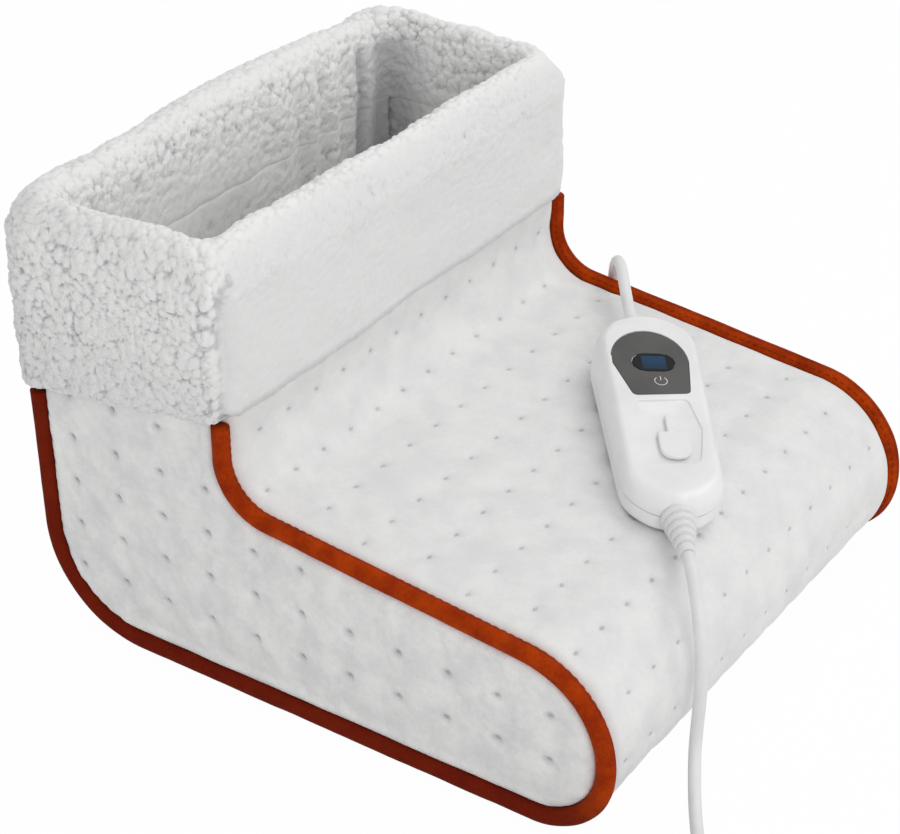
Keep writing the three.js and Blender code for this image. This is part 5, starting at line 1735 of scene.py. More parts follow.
@dataclass(frozen=True)
class Pile:
    """The relief that the collar and the lining share, so that they meet without a step."""

    clump: float = 0.005
    relief: float = 0.0036
    middle: float = 0.6
    seam_height: float = 0.1863
    seam_sink: float = 0.0045
    fold_pitch: float = 0.0265
    corner_fold: float = 0.1055
    corner: Pair = (0.1275, 0.134)

    def level(self, places: Points) -> Points:
        """Height of the curls, from 0 to 1."""
        return curls(places, self.clump, 41)

    def height(self, level: Points, lively: Points) -> Points:
        """Relief in metres of curls that are more or less lively."""
        return self.relief * (level - self.middle) * lively

    def wave(self, places: Points) -> Points:
        """Slow swelling of the whole cloth in metres."""
        return 1.6 * MM * soft_noise(places, 0.06, 13) + 1.2 * MM * soft_noise(places, 0.028, 14)

    def drape(self, places: Points) -> Points:
        """Upright folds of the wall behind the legs, deepest towards its right-hand corner."""
        x = places[:, 0]
        amount = 0.4 * MM + 1.8 * MM * smooth_step(x, -0.03, 0.09)
        phase = 2 * math.pi * x / self.fold_pitch + 2.4 * soft_noise(places * [1, 1, 0.3], 0.045, 15)
        return amount * np.sin(phase) - 5.2 * MM * self.crease(places)

    def crease(self, places: Points) -> Points:
        """The one deep fold beside the right-hand corner, from 0 to 1."""
        bend = 3 * MM * soft_noise(places * [0, 0, 1], 0.05, 17)
        return hump(places[:, 0] - self.corner_fold - bend, 0.0048)

    def gloom(self, places: Points) -> Points:
        """Share of the light that the deep fold and the corner behind it lose."""
        x, y, z = places.T
        away = np.hypot(x - self.corner[0], y - self.corner[1])
        hollow = hump(away, 0.019) + 0.8 * self.crease(places) * (y > 0.12)
        return np.clip(hollow, 0, 1) * smooth_step(0.238 - z, 0.0, 0.02)

    def inner_lively(self, places: Points) -> Points:
        """How strongly the pile curls inside the leg, calmer beside the seam of collar and lining.

        Args:
            places: Places.

        Returns:
            A number from 0 to 1 for each place.
        """
        x, y, z = places.T
        folded = smooth_step(x, -0.02, 0.08) * ((y > 0.11) | (x > 0.115))
        rim = smooth_step(z, 0.203, 0.224)
        lively = 0.32 + 0.12 * soft_noise(places, 0.04, 63) + 0.4 * np.maximum(folded, rim)
        return np.clip(lively, 0, 1) * (1 - 0.5 * hump(z - self.seam_height, 0.005))


PILE = Pile()


def ringed_plan(half: float, front: float, back: float, near: float, far: float, bow: float = 0.0) -> Points:
    """A face of the collar seen from above, with the same number of points whatever its size.

    Args:
        half: Half its width.
        front: Depth of its front.
        back: Depth of its back.
        near: Radius of the near front corner.
        far: Radius of the other corners.
        bow: How far the middle of the back stands out.

    Returns:
        The plan's points, anticlockwise from the near front corner.
    """
    places = ((-half, front, near), (half, front, far), (half, back, far), (-half, back, far))
    outline = Outline([Corner(*place) for place in places])
    found = []
    for i, span in enumerate((224, 76, 224, 76)):
        start, turned = outline.marks[(i, False)], outline.marks[(i, True)]
        found.append(outline.frame(np.linspace(start, turned, 21))[0])
        end = outline.marks[(i + 1, False)] if i < 3 else outline.length
        shares = np.arange(1, span) / span
        line = outline.frame(turned + shares * (end - turned))[0]
        if i == 2:
            line[:, 1] += bow * (1 - np.cos(2 * math.pi * shares)) / 2
        found.append(line)
    return np.concatenate(found)


@dataclass
class Collar:
    """The folded fleece collar."""

    near_radius: float = 0.013
    far_radius: float = 0.025
    slot_back: float = 0.1562
    slot_radius: float = 0.009
    leg_back: float = 0.145
    leg_radius: float = 0.005
    inner_radius: float = 0.010
    bow: float = 0.00541
    hem_roll: float = 0.0045
    crest_base: float = 0.216
    crest_rise: float = 0.019
    crest_lean: float = 1.5
    lip_top: float = 0.203
    lip_foot: float = 0.184
    lip_proud: float = 0.0005
    lip_sunk: float = -0.002
    lip_bend: int = 14
    lip_radius: float = 0.002
    gap: float = 0.3 * MM
    wall_rings: int = 66
    crest_rings: int = 46
    lip_rings: tuple[int, int] = (12, 14)
    seam_depth: float = 0.0034
    seam_shade: float = 0.6
    felt_shade: float = 0.34
    hem_shade: float = 0.55
    hem_rings: int = 7
    near_side: float = 0.14
    near_shade: Pair = (0.06, 0.24)
    front_side: float = 0.06

    def leg_front(self) -> float:
        """Depth of the opening's front wall."""
        return SIZES.shaft_front - SIZES.band_inner + self.gap

    def tuck(self, inset: float, radius: float) -> Points:
        """Plan of the inner wall, set into the leg's opening by an amount."""
        front = self.leg_front() + SIZES.lining_depth() + inset
        back = self.leg_back - SIZES.lining_depth() - inset
        return ringed_plan(SIZES.lining_side - inset, front, back, radius, radius)

    def rows(self) -> list[tuple[Points, Points | float, float]]:
        """Rings of the collar from the hem outside, over the crest, to the slot.

        Returns:
            For each ring its plan, its heights and how much pile shows on it.
        """
        s, slot = SIZES, self.slot_radius
        outer = ringed_plan(
            s.collar_half, s.collar_front, s.collar_back, self.near_radius, self.far_radius, self.bow
        )
        front = s.shaft_front - s.band_proud - self.gap
        slot_outer = ringed_plan(s.side_outer + self.gap, front, self.slot_back, slot, slot)
        leg = self.leg_radius
        slot_inner = ringed_plan(s.lining_side_outer, self.leg_front(), self.leg_back, leg, leg)
        inside = self.tuck(0.0, self.inner_radius)
        hem = s.hem_at(outer[:, 1])
        rows = []
        for angle in np.linspace(0, math.pi / 2, self.hem_rings):
            thin = 0.9 * (1 - math.sin(angle))
            rise = self.hem_roll * (1 - math.cos(angle))
            rows.append((outer + (slot_outer - outer) * thin, hem + rise, 0.4 + 0.6 * math.sin(angle)))
        for share in np.linspace(0, 1, self.wall_rings)[1:]:
            rows.append((outer, hem + self.hem_roll + (self.crest_base - hem - self.hem_roll) * share, 1.0))
        for angle in np.linspace(0, math.pi, self.crest_rings)[1:-1]:
            share = ((1 - math.cos(angle)) / 2) ** (1 / self.crest_lean)
            height = self.crest_base + self.crest_rise * math.sin(angle)
            rows.append((outer + (inside - outer) * share, height, 1.0))
        for share in np.linspace(0, 1, self.lip_rings[0])[1:]:
            height = self.crest_base + (self.lip_top - self.crest_base) * share
            rows.append((self.tuck(self.lip_proud * share, self.inner_radius), height, 1.0))
        for share in np.linspace(0, 1, self.lip_rings[1])[1:]:
            inset = self.lip_proud + (self.lip_sunk - self.lip_proud) * share**self.lip_bend
            radius = self.inner_radius + (self.lip_radius - self.inner_radius) * min(1.0, 1.7 * share)
            height = self.lip_top + (self.lip_foot - self.lip_top) * share
            rows.append((self.tuck(inset, radius), height, 1.0))
        rows += [
            (self.tuck(self.lip_sunk - self.gap, self.lip_radius), self.lip_foot + 0.4 * MM, 0.001),
            (slot_inner, s.lining_top + 0.6 * MM, 0.0),
            (slot_inner, s.height + self.gap, 0.0),
            (slot_outer, s.height + self.gap, 0.0),
            (slot_outer, hem, 0.0),
        ]
        return rows

    def build(self) -> None:
        """Builds and dresses the collar."""
        rows = self.rows()
        count = len(rows[0][0])
        corners = np.concatenate(
            [np.column_stack([plan, np.broadcast_to(height, count)]) for plan, height, _ in rows]
        )
        pile = np.repeat([p for _, _, p in rows], count)
        piece = outwards(make_piece("fleece_collar", corners, ring_faces(len(rows), count, True)))
        mesh = piece.data
        normals = self.facing(mesh, len(rows), count)
        inside = self.inside(corners)
        level = PILE.level(corners)
        outer_lively = self.liveliness(corners, normals)
        inner_lively = PILE.inner_lively(corners)
        inner_lively *= smooth_step(corners[:, 2], self.lip_foot - 0.0005, self.lip_foot + 0.003)
        lively = outer_lively + (inner_lively - outer_lively) * inside
        seam = self.seam(corners, normals)
        height = PILE.height(level, lively) * pile - seam * pile
        height += 0.7 * MM * soft_noise(corners, 0.011, 77) * pile * (1 - inside)
        # Strength of the painted crease shade, lessened on the upward-facing crest, which paints the crest
        # lighter.
        shade = np.clip(lively**1.25 - 0.3 * smooth_step(normals[:, 2], 0.3, 0.9), 0, 1)
        gloom = PILE.gloom(corners) * inside + self.shading(corners, normals, inside, len(rows))
        corners = corners + self.folds(corners, normals, pile, inside)
        move_corners(mesh, corners)
        move_corners(mesh, corners + self.facing(mesh, len(rows), count) * height[:, None])
        # Painted shade in the groove of the near front seam.
        level -= self.seam_shade * np.clip(seam, 0, None) / self.seam_depth
        set_numbers(mesh, pile=np.where(pile > 0, level, 0.5), lively=shade, gloom=gloom)
        WARDROBE.dress(piece, Finishes.COLLAR, "collar_fleece", "collar_cuff")

    def facing(self, mesh: Mesh, rings: int, count: int) -> Points:
        """Outward directions, with the tucked foot's taken from the wall above it."""
        table = normals_of(mesh).reshape(rings, count, 3).copy()
        foot = rings - 6
        table[foot - 1 : foot + 2] = table[foot - 2]
        return table.reshape(-1, 3)

    def inside(self, corners: Points) -> Points:
        """How far each place belongs to the inner walls, from 0 to 1.

        Args:
            corners: Places.

        Returns:
            A number from 0 to 1 for each place.
        """
        front = self.leg_front() + SIZES.lining_depth()
        back = self.leg_back - SIZES.lining_depth()
        slack = 0.0034
        x, y, z = corners.T
        within = (np.abs(x) < SIZES.lining_side + slack) & (y > front - slack) & (y < back + slack)
        return smooth_step(0.228 - z, 0.0, 0.014) * within

    def shading(self, corners: Points, normals: Points, inside: Points, rings: int) -> Points:
        """Share of the light that the felted front, the hem's underside and the near side lose.

        Args:
            corners: Places.
            normals: Outward directions.
            inside: How far each belongs to the inner walls.
            rings: Number of rings.

        Returns:
            A number for each place.
        """
        felted = smooth_step(-normals[:, 1], 0.4, 0.95) * (corners[:, 1] < self.front_side) * (1 - inside)
        by_ring = felted.reshape(rings, -1)
        line = np.interp(np.arange(rings), [0, self.hem_rings - 1, self.hem_rings + 2], [1.0, 0.7, 0.0])
        hem = line[:, None] * by_ring[self.hem_rings + 5]
        near = smooth_step(-normals[:, 0], 0.5, 0.95) * (corners[:, 0] < -self.near_side) * (1 - inside)
        even, low = self.near_shade
        near *= even + low * smooth_step(0.205 - corners[:, 2], 0.0, 0.06)
        return self.felt_shade * felted + self.hem_shade * hem.reshape(-1) + near

    def folds(self, corners: Points, normals: Points, pile: Points, inside: Points) -> Points:
        """Soft waves of the whole collar and the folds on its inner walls.

        Args:
            corners: Places before.
            normals: Outward directions.
            pile: How much of the pile shows at each.
            inside: How far each belongs to the inner walls.

        Returns:
            The movement of each corner.
        """
        behind = smooth_step(corners[:, 1], 0.128, 0.1365) * inside
        share = np.where(inside > 0, pile > 0, pile)
        move = normals * ((PILE.wave(corners) + PILE.drape(corners) * behind) * share)[:, None]
        crest = smooth_step(corners[:, 2], 0.212, 0.23)
        move[:, 2] += crest * (1.8 * MM * soft_noise(corners * [1, 1, 0], 0.07, 16)) * pile
        return move

    def liveliness(self, corners: Points, normals: Points) -> Points:
        """How strongly the pile curls: most on the near side, least on the front.

        Args:
            corners: Places.
            normals: Outward directions.

        Returns:
            A number from 0 to 1 for each place.
        """
        front = smooth_step(-normals[:, 1], 0.35, 0.9) * (corners[:, 1] < self.front_side)
        patch = 0.5 + 0.5 * soft_noise(corners, 0.045, 19)
        low = smooth_step(0.226 - corners[:, 2], 0.0, 0.02)
        crest = smooth_step(normals[:, 2], 0.3, 0.9)
        # The crest's term calms its relief and also lightens its painted crease shade, as painted light on
        # the top.
        lively = 0.72 + 0.28 * patch - 0.62 * front * (0.45 + 0.55 * low) - 0.2 * crest
        return np.clip(lively, 0.19, 1.0)

    def seam(self, corners: Points, normals: Points) -> Points:
        """Depth of the upright seam at the near front corner.

        Args:
            corners: Places.
            normals: Outward directions.

        Returns:
            Depth in metres for each place.
        """
        bend = 1.2 * MM * soft_noise(corners * [0, 0, 1], 0.02, 23)
        line = corners[:, 1] - (SIZES.collar_front + 0.0035) - bend
        near = (corners[:, 0] < -self.near_side) & (normals[:, 0] < 0.1)
        groove = hump(line, 0.002) - 0.22 * hump(np.abs(line) - 0.0055, 0.0026)
        return np.where(near, self.seam_depth * groove, 0.0)


@dataclass
class Lining:
    """The fleece lining of the leg and the foot."""

    grid: float = 0.0036
    seam_back: float = 0.008
    edge: Pair = (0.0, 0.004)
    facings: tuple[tuple[str, Triple], ...] = (
        ("liner_back", (0.0, -1.0, 0.0)),
        ("liner_upper", (0.0, 1.0, 0.0)),
        ("liner_left", (1.0, 0.0, 0.0)),
        ("liner_right", (-1.0, 0.0, 0.0)),
        ("liner_sole", (0.0, 0.0, 1.0)),
    )

    def finish(self, piece: Piece, node: str) -> None:
        """Rounds a lining piece and raises its pile.

        Args:
            piece: The blank.
            node: The CAD node that it stands for.
        """
        mesh = subdivided(piece).data
        places = corners_of(mesh)
        z = places[:, 2]
        normals = normals_of(mesh)
        front = smooth_step(flat_numbers(mesh)[1], 0.5, 1.0)
        level = PILE.level(places)
        seam = PILE.seam_height
        lively = PILE.inner_lively(places) * (1 - smooth_step(z, seam + 0.002, seam + 0.006))
        height = PILE.height(level, lively) + PILE.wave(places)
        if node == "liner_back":
            height += PILE.drape(places) * smooth_step(z, 0.06, 0.12)
        if node == "liner_sole":
            height = np.minimum(height, 0.0)
        height -= PILE.seam_sink * smooth_step(z, seam - 0.0005, seam + 0.0055)
        top = smooth_step(z, seam - 0.022, seam - 0.008)[:, None]
        way = normals + (np.array(dict(self.facings)[node]) - normals) * top
        share = front[:, None] + (1 - front[:, None]) * top
        move_corners(mesh, places + way * height[:, None] * share)
        # Painted shade: pile and lively set how dark the pile's low places are painted, and gloom adds
        # painted shade in the deep fold and corner.
        set_numbers(mesh, pile=level, lively=lively**1.25, gloom=PILE.gloom(places))
        without_flat(piece)
        WARDROBE.dress(piece, Finishes.LINING, "lining_fleece", node)

    def build(self) -> None:
        """Builds and dresses the lining."""
        s = SIZES
        columns = np.linspace(-s.lining_half, s.lining_half, round(2 * s.lining_half / self.grid))
        top = s.height - s.lining_top
        toe, heel = SOLE_START - self.seam_back, SOLE_END + self.seam_back
        end_back = SIDE.length - top * s.heel_slant()
        for node, start, end in (("liner_upper", top, toe), ("liner_back", heel, end_back)):
            stations = np.linspace(start, end, round((end - start) / self.grid))
            blank = band_blank(stations, columns, s.lining_outer, s.lining_inner, self.edge)
            self.turn_inwards(blank, len(stations))
            self.finish(blank.assemble("fleece_" + node), node)
        loop = self.below(SIDE.line(s.lining_outer, self.grid), s.lining_top)
        for side, node in ((-1.0, "liner_left"), (1.0, "liner_right")):

            def to_space(flat: Points, depth: Points | float, side: float = side) -> Points:
                """Place of a side lining's flat coordinates at a depth behind its face."""
                return upright(side * (s.lining_side + depth), flat)

            blank = plate_blank(loop, self.lattice(), to_space, s.lining_depth(), 0.4 * MM)
            self.finish(blank.assemble("fleece_" + node), node)

    def turn_inwards(self, blank: Blank, rows: int) -> None:
        """Makes the back of a band the fine face, because the lining is seen from inside.

        Args:
            blank: The band's pad.
            rows: Its number of stations.
        """
        inner, outer = SIZES.lining_inner, SIZES.lining_outer
        offsets = np.full(len(blank.flat), inner)
        offsets[blank.front_count :] = np.repeat([(inner + outer) / 2, outer], 2 * rows)
        spots, normals = SIDE.frame(blank.flat[:, 1])
        blank.corners[:, 1:] = spots + normals * offsets[:, None]

    def lattice(self) -> Points:
        """Staggered points for the side linings."""
        step = self.grid
        row, column = np.meshgrid(np.arange(80), np.arange(110), indexing="ij")
        across = -0.2 + column * step + np.where(row % 2, step / 2, 0.0)
        return np.stack([across, row * step * 0.87], axis=2).reshape(-1, 2)

    def below(self, line: Points, height: float) -> Points:
        """The part of an open outline under a height, closed along it.

        Args:
            line: The outline.
            height: The height.

        Returns:
            The closed outline.
        """
        kept = line[line[:, 1] <= height - 0.0005]
        first = np.array([kept[0][0], height])
        last = np.array([kept[-1][0], height])
        steps = max(2, round(np.linalg.norm(first - last) / self.grid))
        shares = np.linspace(0, 1, steps + 1)[1:-1, None]
        return np.concatenate([[first], kept, [last], last + (first - last) * shares])

    def sole(self) -> None:
        """The fleece insole."""
        low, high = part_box("liner_sole")
        corners = ((low.x, low.y), (high.x, low.y), (high.x, high.y), (low.x, high.y))
        loop = Outline([Corner(x, y, 0.008) for x, y in corners]).line(0.0, self.grid)
        points = self.lattice()[:, ::-1] - [0.14, 0.0]

        def to_space(flat: Points, depth: Points | float) -> Points:
            """Place of the insole's flat coordinates at a depth under its top."""
            height = np.broadcast_to(high.z - 0.4 * MM - depth, len(flat))
            return np.column_stack([flat, height])

        blank = plate_blank(loop, points, to_space, high.z - low.z - 0.8 * MM, 0.002)
        self.finish(blank.assemble("fleece_insole"), "liner_sole")


# Hand control


def filled(rim: Points, loops: Sequence[Points], holes: Sequence[Points]) -> tuple[Points, list]:
    """Fills a flat outline with faces that follow other outlines inside it.

    Args:
        rim: The outer outline, anticlockwise.
        loops: Outlines that the faces follow.
        holes: Outlines that stay open.

    Returns:
        The flat points, those of the outlines first, and the faces.
    """
    edges, first = [], len(rim)
    for loop in (*loops, *holes):
        edges += [(first + i, first + (i + 1) % len(loop)) for i in range(len(loop))]
        first += len(loop)
    flat, faces = triangulated(np.concatenate([rim, *loops, *holes]), len(rim), edges, 1e-8)
    centres = flat[np.array(faces)].mean(axis=1)
    kept = np.all([depth_in(hole, centres) < 0 for hole in holes], axis=0)
    return flat, np.array(faces)[kept].tolist()


@dataclass
class Housing:
    """The two moulded halves of the hand control, in its own frame: Y to the display, Z out of the face."""

    half_length: float = 0.074
    head_half: float = 0.027
    tail_half: float = 0.0245
    nose_half: float = 0.011
    shoulder: float = 0.015
    head_radius: float = 0.025
    shoulder_radius: float = 0.014
    nose_radius: float = 0.009
    softening: float = 0.0052
    head_height: float = 0.030
    tail_height: float = 0.018
    parting: float = 0.0092
    parting_gap: float = 0.0002
    edge: float = 0.0002
    crown_width: float = 0.0054
    crown_at_head: float = 0.0075
    crown_at_tail: float = 0.004
    crown_start: float = 0.2
    crown_steps: int = 12
    base_round: float = 0.0038
    neck_radius: float = 0.0045
    wall: float = 0.0012
    points: int = 380
    inlay_middle: Pair = (-0.0015, 0.029)
    inlay_dome: Pair = (0.0193, 0.0238)
    inlay_foot: tuple[Corner, ...] = (Corner(-0.0126, 0.003, 0.0026), Corner(0.0154, 0.0052, 0.0026))
    inlay_steps: tuple[Pair, ...] = (
        (0.00035, 0.0),
        (0.00028, -0.00008),
        (0.00024, -0.0013),
    )
    track: tuple[Corner, ...] = (
        Corner(-0.0148, -0.046, 0.006),
        Corner(0.0136, -0.046, 0.006),
        Corner(0.0176, -0.021, 0.003),
        Corner(0.0134, 0.001, 0.003),
        Corner(-0.0122, -0.0012, 0.003),
    )
    track_steps: tuple[Pair, ...] = (
        (0.0003, 0.0),
        (0.00012, -0.00006),
        (0.0, -0.00026),
        (-0.00012, -0.00084),
        (-0.0004, -0.001),
    )
    slot_low: Pair = (0.0007, -0.0373)
    slot_high: Pair = (0.0041, -0.0187)
    screw_radius: float = 0.0029
    screw_across: float = 0.0135
    screws_along: Pair = (0.05, -0.046)

    def plan(self) -> tuple[Points, Points]:
        """The softened outline seen from above, anticlockwise, and its outward directions.

        Returns:
            Two arrays with a row for each point.
        """
        half = self.half_length
        right = [
            Corner(self.nose_half, -half, self.nose_radius),
            Corner(self.tail_half, self.shoulder - half, self.shoulder_radius),
            Corner(self.head_half, half, self.head_radius),
        ]
        outline = Outline([*right, *(Corner(-c.x, c.y, c.radius) for c in reversed(right))])
        line = outline.line(0.0, outline.length / self.points)
        blur = self.softening / outline.length * len(line)
        share = np.exp(-2 * (math.pi * blur * np.fft.fftfreq(len(line))) ** 2)
        soft = np.fft.ifft(np.fft.fft(line[:, 0] + 1j * line[:, 1]) * share)
        way = np.roll(soft, -1) - np.roll(soft, 1)
        out = -1j * way / np.abs(way)
        return np.stack([soft.real, soft.imag], axis=1), np.stack([out.real, out.imag], axis=1)

    def face_at(self, y: Points) -> Points:
        """Height of the sloping face."""
        share = (y + self.half_length) / (2 * self.half_length)
        return self.tail_height + (self.head_height - self.tail_height) * share

    def crown_at(self, y: Points) -> Points:
        """Width of the rounding between wall and face, which is broader at both ends."""
        head = smooth_step(y, 0.6 * self.half_length, self.half_length)
        tail = smooth_step(-y, 0.7 * self.half_length, self.half_length)
        return self.crown_width + self.crown_at_head * head + self.crown_at_tail * tail

    def neck_rise(self, spots: Points) -> Points:
        """How far the parting line bends round the necks of the cord sleeves."""
        x, y = spots.T
        at_end = (np.abs(y) > 0.8 * self.half_length) & (np.abs(x) < self.neck_radius)
        return np.where(at_end, np.sqrt(np.clip(self.neck_radius**2 - x**2, 0, None)), 0.0)

    def seats(self) -> list[tuple[Points, float]]:
        """Outlines on the face and their depths: the inlay's seat, then the slider's sunken field.

        Returns:
            For each outline its points and its depth.
        """
        angles = np.linspace(0, math.pi, 41)
        (x, y), (across, along) = self.inlay_middle, self.inlay_dome
        dome = [Corner(x + across * math.cos(a), y + along * math.sin(a)) for a in angles]
        inlay, track = Outline([*dome, *self.inlay_foot]), Outline(self.track)
        shapes = [(inlay, step) for step in self.inlay_steps] + [(track, step) for step in self.track_steps]
        return [(shape.line(offset, 0.0012), depth) for shape, (offset, depth) in shapes]

    def slot_line(self) -> Points:
        """Outline of the slot that the slider's stem runs in."""
        (left, low), (right, high) = self.slot_low, self.slot_high
        corners = [Corner(left, low), Corner(right, low), Corner(right, high), Corner(left, high)]
        return Outline(corners).line(0.0, 0.0017)

    def rings(self, levels: Sequence[tuple[Points | float, Points | float]]) -> Points:
        """The outline's corners at each inset and height.

        Args:
            levels: Insets and heights, each one number or one for each point.

        Returns:
            The corners, ring by ring.
        """
        line, out = self.plan()
        rings = []
        for inset, height in levels:
            flat = line - np.reshape(inset, (-1, 1)) * out
            rings.append(np.column_stack([flat, np.broadcast_to(height, len(line))]))
        return np.concatenate(rings)

    def top(self, name: str) -> Piece:
        """The upper half, in the control's own frame.

        Args:
            name: The piece's name.

        Returns:
            The new object.
        """
        line, out = self.plan()
        rim = self.parting + self.neck_rise(line)
        rise = self.face_at(line[:, 1]) - self.parting
        start = np.maximum(self.parting + self.crown_start * rise, rim + 2 * self.edge)
        crown = self.crown_at(line[:, 1])
        levels = [(self.edge, rim), (0.0, rim + self.edge), (0.0, (rim + start) / 2)]
        for angle in np.linspace(0, math.pi / 2, self.crown_steps):
            inset = crown * (1 - math.cos(angle))
            ceiling = self.face_at(line[:, 1] - inset * out[:, 1])
            levels.append((inset, start + (ceiling - start) * math.sin(angle)))
        last = line - (crown + 0.25 * MM)[:, None] * out
        seats = self.seats()
        flat, faces = filled(last, [loop for loop, _ in seats], [self.slot_line()])
        sunk = np.full(len(flat), seats[-1][1])
        loops = [(last, 0.0), *seats]
        depths = np.repeat([depth for _, depth in loops], [len(loop) for loop, _ in loops])
        sunk[: len(depths)] = depths
        corners = self.rings(levels)
        total = len(corners)
        corners = np.concatenate([corners, np.column_stack([flat, self.face_at(flat[:, 1]) + sunk])])
        walls = ring_faces(len(levels) + 1, len(line), False)
        return make_piece(name, corners, [*walls, *([total + k for k in f] for f in faces)])

    def base(self, name: str) -> Piece:
        """The lower half, in the control's own frame.

        Args:
            name: The piece's name.

        Returns:
            The new object.
        """
        line, out = self.plan()
        rim = self.parting - self.parting_gap - self.neck_rise(line)
        inset = self.base_round + 0.4 * MM
        levels = [(inset, 0.0)]
        for angle in np.linspace(math.pi / 2, 0, 8):
            height = np.minimum(self.base_round * (1 - math.sin(angle)), rim - self.edge)
            levels.append((self.base_round * (1 - math.cos(angle)), height))
        levels += [(0.0, rim - self.edge), (self.edge, rim)]
        angles = np.linspace(0, 2 * math.pi, 28, endpoint=False)
        ring = self.screw_radius * np.stack([np.cos(angles), np.sin(angles)], axis=1)
        sides = (-self.screw_across, self.screw_across)
        holes = [ring + [x, y] for x in sides for y in self.screws_along]
        flat, faces = filled(line - inset * out, [], holes)
        walls, own = self.rings(levels), flat[len(line) :]
        places = [*range(len(line)), *range(len(walls), len(walls) + len(own))]
        bottom = [[places[k] for k in reversed(f)] for f in faces]
        corners = np.concatenate([walls, np.column_stack([own, np.zeros(len(own))])])
        return make_piece(name, corners, [*ring_faces(len(levels), len(line), False), *bottom])

    def build(self, turn: Matrix) -> None:
        """Builds and dresses both halves.

        Args:
            turn: From the control's own frame to the boot's.
        """
        for node, half in (("controller_top_shell", self.top), ("controller_base_shell", self.base)):
            piece = half("moulded_" + node)
            thick = piece.modifiers.new("wall", "SOLIDIFY")
            thick.thickness = self.wall
            thick.offset = -1.0
            thick.use_even_offset = False
            settled(piece)
            piece.data.transform(turn)
            smooth_by_angle(piece.data, 38.0)
            WARDROBE.dress(piece, Finishes.HOUSING, "housing_plastic", node)


@dataclass
class HandControl:
    """The hand control: its housing, its carried-over pieces and a printed face."""

    place: Triple = (0.027, -0.0928, 0.09875)
    slope: float = math.atan(0.0994318)
    turn: float = math.radians(-51.84)
    tilt: float = math.radians(1.2)
    face_slope: float = math.atan2(0.012, 0.148)
    face_height: float = 0.024
    bevel: float = 0.00028
    icon_centre: Pair = (0.002, 0.014)
    icon_radius: float = 0.0031
    icon_line: float = 0.00042
    icon_gap: float = math.radians(38)
    icon_steps: int = 28
    icon_stroke: float = 0.0004
    icon_thick: float = 0.00008
    icon_lift: float = 0.00002
    screen: Pair = (0.00035, 0.0283)

    def housing_matrix(self) -> Matrix:
        """From the control's own frame to the boot's."""
        turns = ((self.slope, "X"), (self.turn, "Z"), (self.tilt, "X"))
        first, second, third = (Matrix.Rotation(angle, 4, axis) for angle, axis in turns)
        return Matrix.Translation(self.place) @ (first @ second @ third)

    def face_matrix(self) -> Matrix:
        """From the sloping face's level frame to the boot's."""
        lift = Matrix.Translation((0, 0, self.face_height))
        return self.housing_matrix() @ lift @ Matrix.Rotation(self.face_slope, 4, "X")

    def smooth_copy(
        self, node: str, finish: Finishes, degrees: float, slot: str, body: str = "boot"
    ) -> Piece:
        """A smoothly shaded piece of the same shape as a CAD node, with softened edges.

        Args:
            node: The CAD node.
            finish: Its finish.
            degrees: Edges sharper than this stay edges.
            slot: The record's material slot.
            body: The body it rides on.

        Returns:
            The piece.
        """
        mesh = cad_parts[node].data.copy()
        mesh.name = "moulded_" + node
        smooth_by_angle(mesh, degrees)
        piece = linked("moulded_" + node, mesh)
        bevel = piece.modifiers.new("soft edges", "BEVEL")
        bevel.width = self.bevel
        bevel.segments = 2
        bevel.limit_method = "ANGLE"
        bevel.angle_limit = math.radians(degrees)
        bevel.harden_normals = False
        return WARDROBE.dress(settled(piece), finish, slot, node, body=body)

    def mark_screen(self) -> None:
        """Gives the window its coordinates for the lit field."""
        lens = bpy.data.objects["moulded_display_lens"].data
        back = self.face_matrix().inverted()
        local = np.array([list(back @ v.co) for v in lens.vertices])
        set_numbers(lens, screen_across=local[:, 0] - self.screen[0], screen_up=local[:, 1] - self.screen[1])

    def icon(self) -> None:
        """The printed on-off sign: an open ring and a stroke."""
        made = bmesh.new()
        half = self.icon_line / 2
        sweep = (2 * math.pi - 2 * self.icon_gap) / self.icon_steps
        angles = [math.pi / 2 + self.icon_gap + sweep * k for k in range(self.icon_steps + 1)]
        radii = (self.icon_radius - half, self.icon_radius + half)
        ring = [[(r * math.cos(a), r * math.sin(a)) for r in radii] for a in angles]
        stroke = [[(-half, y), (half, y)] for y in (self.icon_stroke, self.icon_radius + half * 2)]
        for strip in (ring, stroke):
            levels = (0.0, self.icon_thick)
            verts = [[made.verts.new((x, y, z)) for (x, y) in pair for z in levels] for pair in strip]
            for a, b in zip(verts, verts[1:]):
                for i, j in ((0, 1), (1, 3), (3, 2), (2, 0)):
                    made.faces.new((a[i], a[j], b[j], b[i]))
            for end in (verts[0], verts[-1]):
                made.faces.new((end[0], end[1], end[3], end[2]))
        bmesh.ops.recalc_face_normals(made, faces=made.faces)
        made.transform(self.face_matrix() @ Matrix.Translation((*self.icon_centre, self.icon_lift)))
        mesh = bpy.data.meshes.new("on_off_sign")
        made.to_mesh(mesh)
        made.free()
        WARDROBE.dress(linked("on_off_sign", mesh), Finishes.INLAY_EDGE, "inlay_plastic")

    def build(self) -> None:
        """Builds and dresses the hand control."""
        rubber = (Finishes.RUBBER, 40.0, "cord_rubber")
        self.smooth_copy("fascia", Finishes.INLAY, 32.0, "inlay_plastic")
        self.smooth_copy("display_lens", Finishes.LENS, 32.0, "lens_plastic")
        self.smooth_copy("slider_knob", Finishes.HOUSING, 32.0, "housing_plastic", "slider")
        for node in ("strain_relief_in", "strain_relief_out", "cord_gland"):
            self.smooth_copy(node, *rubber)
        Housing().build(self.housing_matrix())
        self.mark_screen()
        self.icon()
        dark = ("display_module", "slide_switch", "triac", "capacitor", "slider_carrier")
        WARDROBE.redress(Finishes.BOARD, "circuit_board")
        WARDROBE.redress(Finishes.DARK, *dark, "terminal_block_head", "terminal_block_tail")
        screws = [f"housing_screw_{i}" for i in range(1, 5)]
        WARDROBE.redress(Finishes.METAL, "fuse", "wiper_contact", *screws)


